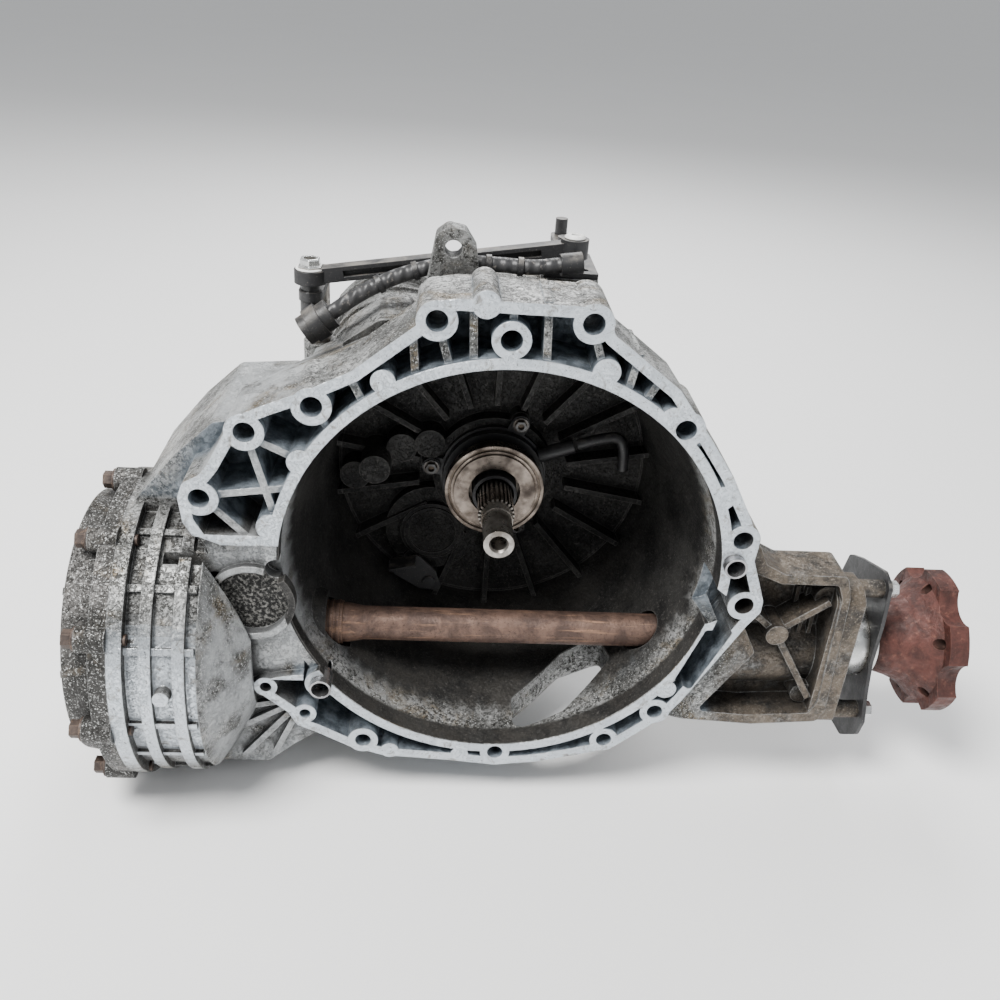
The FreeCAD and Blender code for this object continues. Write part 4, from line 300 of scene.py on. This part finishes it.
def housing_material():
    g = Graph("cast_housing")
    x, y, z = g.axes()
    _, ny, nz = g.axes(g.geometry.outputs["True Normal"])
    color, rough, normal = cast_layers(g, (0.42, 0.425, 0.42), (0.10, 0.10, 0.095),
                                       (0.17, 0.125, 0.065), 0.7)
    color = drum_web(g, x, color)
    color = bracket_dirt(g, x, color)
    # Painted shade in the housing's corners and recesses.
    color = painted_crevice_shade(g, color, 0.03, 0.8)
    color = painted_pocket_shade(g, x, y, z, color)
    color, inside = bell_inside_dark(g, x, y, z, nz, color)
    blank = g.math("MULTIPLY", g.band(distance_from(g, x, z, BLANK), *BLANK_EDGE, 1.0, 0.0),
                   g.band(ny, -0.9, -0.7, 1.0, 0.0))
    crumbs = g.mix(g.band(g.noise(420, 4, 0.75), 0.46, 0.64), (0.012, 0.012, 0.012),
                   (0.24, 0.235, 0.22))
    color = g.mix(blank, color, crumbs)
    color, face = machined_face(g, y, ny, color)
    worn = g.math("MULTIPLY", g.edges(0.0012), g.math("SUBTRACT", 1.0, inside))
    worn = g.math("MULTIPLY", worn, g.band(g.noise(90, 4), 0.35, 0.6, 0.15, 0.6))
    color = g.mix(worn, color, (0.60, 0.61, 0.61))
    rough = g.blend(inside, g.blend(face, rough, 0.34), 0.6)
    metal = g.blend(inside, g.blend(face, 0.5, 0.7), 0.2)
    return g.finish(color, rough, metal, normal)


def casting_material(name, light, dark, stain, share=0.5, dirt_and_shade=0.75, metal=0.5):
    g = Graph(name)
    color, rough, normal = cast_layers(g, light, dark, stain, share)
    # Painted shade darkens the casting's corners and recesses.
    color = painted_crevice_shade(g, color, 0.025, dirt_and_shade)
    color = g.mix(g.math("MULTIPLY", g.edges(0.0012), 0.4), color, (0.62, 0.63, 0.63))
    return g.finish(color, rough, metal, normal)


def steel_material(name, light, dark, rough=(0.22, 0.42), dirt_and_shade=0.5, oil_and_shade=(0.05, 0.035, 0.022)):
    g = Graph(name)
    color = g.mix(g.band(g.noise(60, 5), 0.3, 0.7), dark, light)
    color = g.mix(g.band(g.noise(28, 5, 0.7), 0.50, 0.70, 0.0, dirt_and_shade), color, oil_and_shade)
    # Painted shade: corners and recesses darkened towards the oil colour, which also tints the
    # real oil stains above.
    color = painted_crevice_shade(g, color, 0.006, 0.8, oil_and_shade)
    fine = g.noise(1500, 2)
    normal = g.bump(fine, 0.00012, 0.5, g.rounded(0.0005))
    return g.finish(color, g.band(g.noise(140, 4), 0.3, 0.7, *rough), 0.9, normal)


def rust_material(name, light, dark, copper, along_x=False, metal=0.35):
    g = Graph(name)
    clouds = g.noise(60, 6, 0.7, twist=0.5)
    color = g.mix(g.band(clouds, 0.35, 0.68), dark, light)
    streaks = g.noise(260, 5, 0.65, vector=g.stretched(0.06, 1, 1) if along_x else None)
    color = g.mix(g.band(streaks, 0.55, 0.72, 0.0, 0.75), color, copper)
    pits = g.band(g.noise(520, 4, 0.7), 0.55, 0.70)
    color = g.mix(g.math("MULTIPLY", pits, 0.7), color, (0.035, 0.020, 0.015))
    # Painted shade in corners and recesses, in a dark rust colour.
    color = painted_crevice_shade(g, color, 0.012, 0.7, (0.03, 0.018, 0.013))
    color = g.mix(g.math("MULTIPLY", g.edges(0.001), 0.35), color, copper)
    height = g.math("ADD", g.noise(420, 4, 0.7), g.math("MULTIPLY", clouds, 1.2))
    normal = g.bump(height, 0.0006, 0.8, g.rounded(0.001))
    return g.finish(color, g.band(g.noise(200, 4), 0.3, 0.7, 0.42, 0.70), metal, normal)


def plastic_material(name, base, dust, rough=(0.35, 0.6), grain=900):
    g = Graph(name)
    _, _, nz = g.axes(g.geometry.outputs["True Normal"])
    color = g.mix(g.noise(90, 4), base, tuple(min(1.0, 1.8 * c) for c in base))
    lying = g.math("MULTIPLY", g.band(nz, 0.2, 0.95), g.band(g.noise(60, 6, 0.7), 0.40, 0.66))
    color = g.mix(g.math("MULTIPLY", lying, 0.6), color, dust)
    color = g.mix(g.band(g.noise(800, 3, 0.7), 0.62, 0.70, 0.0, 0.5), color, dust)
    normal = g.bump(g.noise(grain, 3), 0.00025, 0.6, g.rounded(0.0007))
    return g.finish(color, g.band(g.noise(120, 4), 0.3, 0.7, *rough), 0.0, normal)


def tape_material():
    g = Graph("loom_tape")
    wave = g.add("ShaderNodeTexWave", wave_type="BANDS", bands_direction="X")
    wave.inputs["Scale"].default_value = 38
    wave.inputs["Distortion"].default_value = 1.5
    wave.inputs["Detail"].default_value = 1.0
    g.put(wave.inputs["Vector"], g.coords)
    color = g.mix(g.noise(150, 4), (0.012, 0.012, 0.013), (0.05, 0.05, 0.052))
    color = g.mix(g.band(g.noise(300, 5), 0.58, 0.7, 0.0, 0.6), color, (0.20, 0.18, 0.16))
    normal = g.bump(wave.outputs["Fac"], 0.0012, 0.8)
    return g.finish(color, g.band(g.noise(100, 3), 0.3, 0.7, 0.34, 0.55), 0.0, normal)


DUST = (0.23, 0.21, 0.185)
MATERIALS = {
    "cast_aluminium": casting_material("cast_case", (0.36, 0.365, 0.36), (0.10, 0.10, 0.095),
                                       (0.13, 0.10, 0.065)),
    "cover_aluminium": casting_material("cast_cover", (0.13, 0.125, 0.12), (0.035, 0.034, 0.032),
                                        (0.10, 0.08, 0.055), 0.6, 0.85, 0.35),
    "gear_steel": steel_material("gear_steel", (0.50, 0.50, 0.51), (0.26, 0.26, 0.27), dirt_and_shade=0.35),
    "shaft_steel": steel_material("shaft_steel", (0.50, 0.48, 0.45), (0.13, 0.115, 0.10)),
    "rusty_steel": rust_material("rusty_steel", (0.13, 0.095, 0.078), (0.045, 0.034, 0.030),
                                 (0.30, 0.20, 0.14)),
    "black_plastic": plastic_material("black_plastic", (0.012, 0.012, 0.013), DUST),
    "black_steel": plastic_material("black_steel", (0.016, 0.016, 0.017), DUST, (0.3, 0.5), 500),
    "zinc": steel_material("zinc", (0.86, 0.87, 0.86), (0.55, 0.56, 0.56), (0.20, 0.38), 0.3,
                           (0.22, 0.18, 0.12)),
    "bronze": steel_material("bronze", (0.58, 0.43, 0.22), (0.36, 0.25, 0.12)),
    "rubber": plastic_material("rubber", (0.02, 0.02, 0.02), DUST, (0.5, 0.75)),
}
HOUSING = housing_material()
SPECIAL = {
    "clutch_housing": HOUSING,
    "bell_back_wall": HOUSING,
    "cross_shaft": rust_material("shaft_rust", (0.20, 0.125, 0.095), (0.085, 0.055, 0.045),
                                 (0.46, 0.27, 0.17), True, 0.5),
    "drive_flange_right": rust_material("flange_rust", (0.115, 0.040, 0.031),
                                        (0.045, 0.017, 0.014), (0.24, 0.10, 0.07)),
    "wiring_loom": tape_material(),
    "slave_cylinder": plastic_material("slave_black", (0.010, 0.010, 0.011),
                                       (0.09, 0.085, 0.08)),
    "slave_bolts": steel_material("slave_bolt_black", (0.10, 0.10, 0.10), (0.03, 0.03, 0.03)),
    "release_bearing": steel_material("bearing_brown", (0.30, 0.27, 0.24), (0.05, 0.042, 0.036),
                                      (0.28, 0.48), 0.75),
    "release_bearing_ring": steel_material("ring_brown", (0.34, 0.29, 0.25),
                                           (0.05, 0.04, 0.034), (0.22, 0.42), 0.75),
}


def dress_nodes():
    slots = {s["node"]: s["material_slot"] for s in frame["record"]["subparts"]}
    for name, obj in NODES.items():
        material = SPECIAL.get(name, MATERIALS[slots[name]])
        obj.data.materials.clear()
        obj.data.materials.append(material)


dress_nodes()


# ---------------------------------------------------------------------------
# Washers and nut on the ends of the shift link
# ---------------------------------------------------------------------------
WHITE_NYLON = plastic_material("white_nylon", (0.62, 0.62, 0.60), (0.30, 0.28, 0.25))


def turned(name, profile, at, sides=48, material=None, body="casing"):
    """Ring turned about Z from a closed profile of radius, height pairs in mm."""
    mesh = bmesh.new()
    rings = []
    for step in range(sides):
        angle = 2 * math.pi * (step + 0.5) / sides
        rings.append([mesh.verts.new((at[0] + r * MM * math.cos(angle),
                                      at[1] + r * MM * math.sin(angle), at[2] + h * MM))
                      for r, h in profile])
    for step, ring in enumerate(rings):
        following = rings[(step + 1) % sides]
        for k in range(len(profile)):
            j = (k + 1) % len(profile)
            mesh.faces.new((ring[k], following[k], following[j], ring[j]))
    bmesh.ops.recalc_face_normals(mesh, faces=mesh.faces)
    data = bpy.data.meshes.new(name)
    mesh.to_mesh(data)
    mesh.free()
    data.materials.append(material)
    piece = bpy.data.objects.new(name, data)
    bpy.context.scene.collection.objects.link(piece)
    edge = piece.modifiers.new("edge", "BEVEL")
    edge.width, edge.segments, edge.limit_method = 0.35 * MM, 2, "ANGLE"
    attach(piece, body)
    return piece


def add_link_trim():
    low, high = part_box("link_rod")
    left = (low[0] + EYE_LEFT_R, LINK_Y, LINK_LEFT_Z)
    right = (high[0] - EYE_RIGHT_R, LINK_Y, LINK_RIGHT_Z)
    turned("link_washer_left", [(5.4, 5.1), (10.6, 5.1), (11.0, 5.6), (10.6, 6.4), (5.4, 6.4)],
           left, 56, WHITE_NYLON, "link")
    turned("link_nut_left", [(5.25, 6.6), (9.6, 6.6), (9.8, 7.6), (8.0, 8.4), (8.0, 12.6),
                             (7.2, 13.4), (5.25, 13.4)], left, 6, MATERIALS["zinc"],
           "selector")
    turned("link_washer_right", [(3.0, 7.2), (7.4, 7.2), (8.0, 7.8), (6.6, 9.6), (3.0, 9.9)],
           right, 56, WHITE_NYLON, "link")


add_link_trim()


# ---------------------------------------------------------------------------
# Floor, light and camera
# ---------------------------------------------------------------------------
def add_floor():
    low = min(corner.z for corner in (Vector(CAD_BOX[0]), Vector(CAD_BOX[1])))
    mesh = bpy.data.meshes.new("floor")
    size = FLOOR_HALF
    z = low - FLOOR_GAP
    mesh.from_pydata([(-size, -size, z), (size, -size, z), (size, size, z), (-size, size, z)],
                     [], [(0, 1, 2, 3)])
    floor = bpy.data.objects.new("floor", mesh)
    bpy.context.scene.collection.objects.link(floor)
    g = Graph("floor_paper")
    color = g.mix(g.noise(3, 3), (0.93, 0.93, 0.93), (0.96, 0.96, 0.96))
    mesh.materials.append(g.finish(color, 0.8, 0.0))


def add_area(name, at, target, size, power, color=(1, 1, 1)):
    data = bpy.data.lights.new(name, "AREA")
    data.shape = "DISK"
    data.size = size
    data.energy = power
    data.color = color
    lamp = bpy.data.objects.new(name, data)
    lamp.location = at
    lamp.rotation_euler = (Vector(target) - Vector(at)).to_track_quat("-Z", "Y").to_euler()
    bpy.context.scene.collection.objects.link(lamp)


def add_light():
    world = bpy.data.worlds.new("studio")
    bpy.context.scene.world = world
    world.use_nodes = True
    background = world.node_tree.nodes["Background"]
    background.inputs["Color"].default_value = (0.96, 0.98, 1.0, 1.0)
    background.inputs["Strength"].default_value = 0.5
    add_area("key", (-0.9, -0.7, 1.9), (0, 0.1, 0), 1.0, 105, (1.0, 0.99, 0.97))
    add_area("fill", (1.4, -1.0, 1.2), (0, 0.1, 0), 1.6, 8, (0.95, 0.97, 1.0))
    add_area("back", (0.2, 1.7, 1.5), (0, 0.2, 0), 1.2, 40)


def add_camera():
    yaw, pitch, roll = (math.radians(a) for a in (CAMERA_YAW, CAMERA_PITCH, CAMERA_ROLL))
    forward = Vector((math.sin(yaw) * math.cos(pitch), math.cos(yaw) * math.cos(pitch),
                      -math.sin(pitch)))
    right = forward.cross(Vector((0, 0, 1))).normalized()
    up = right.cross(forward)
    right, up = (math.cos(roll) * right + math.sin(roll) * up,
                 math.cos(roll) * up - math.sin(roll) * right)
    data = bpy.data.cameras.new("camera")
    data.lens = CAMERA_LENS
    data.sensor_width = CAMERA_SENSOR
    data.clip_start = 0.01
    camera = bpy.data.objects.new("camera", data)
    turn = Matrix((right, up, -forward)).transposed()
    camera.matrix_world = Matrix.Translation(CAMERA_AT) @ turn.to_4x4()
    bpy.context.scene.collection.objects.link(camera)
    bpy.context.scene.camera = camera


add_floor()
add_light()
add_camera()
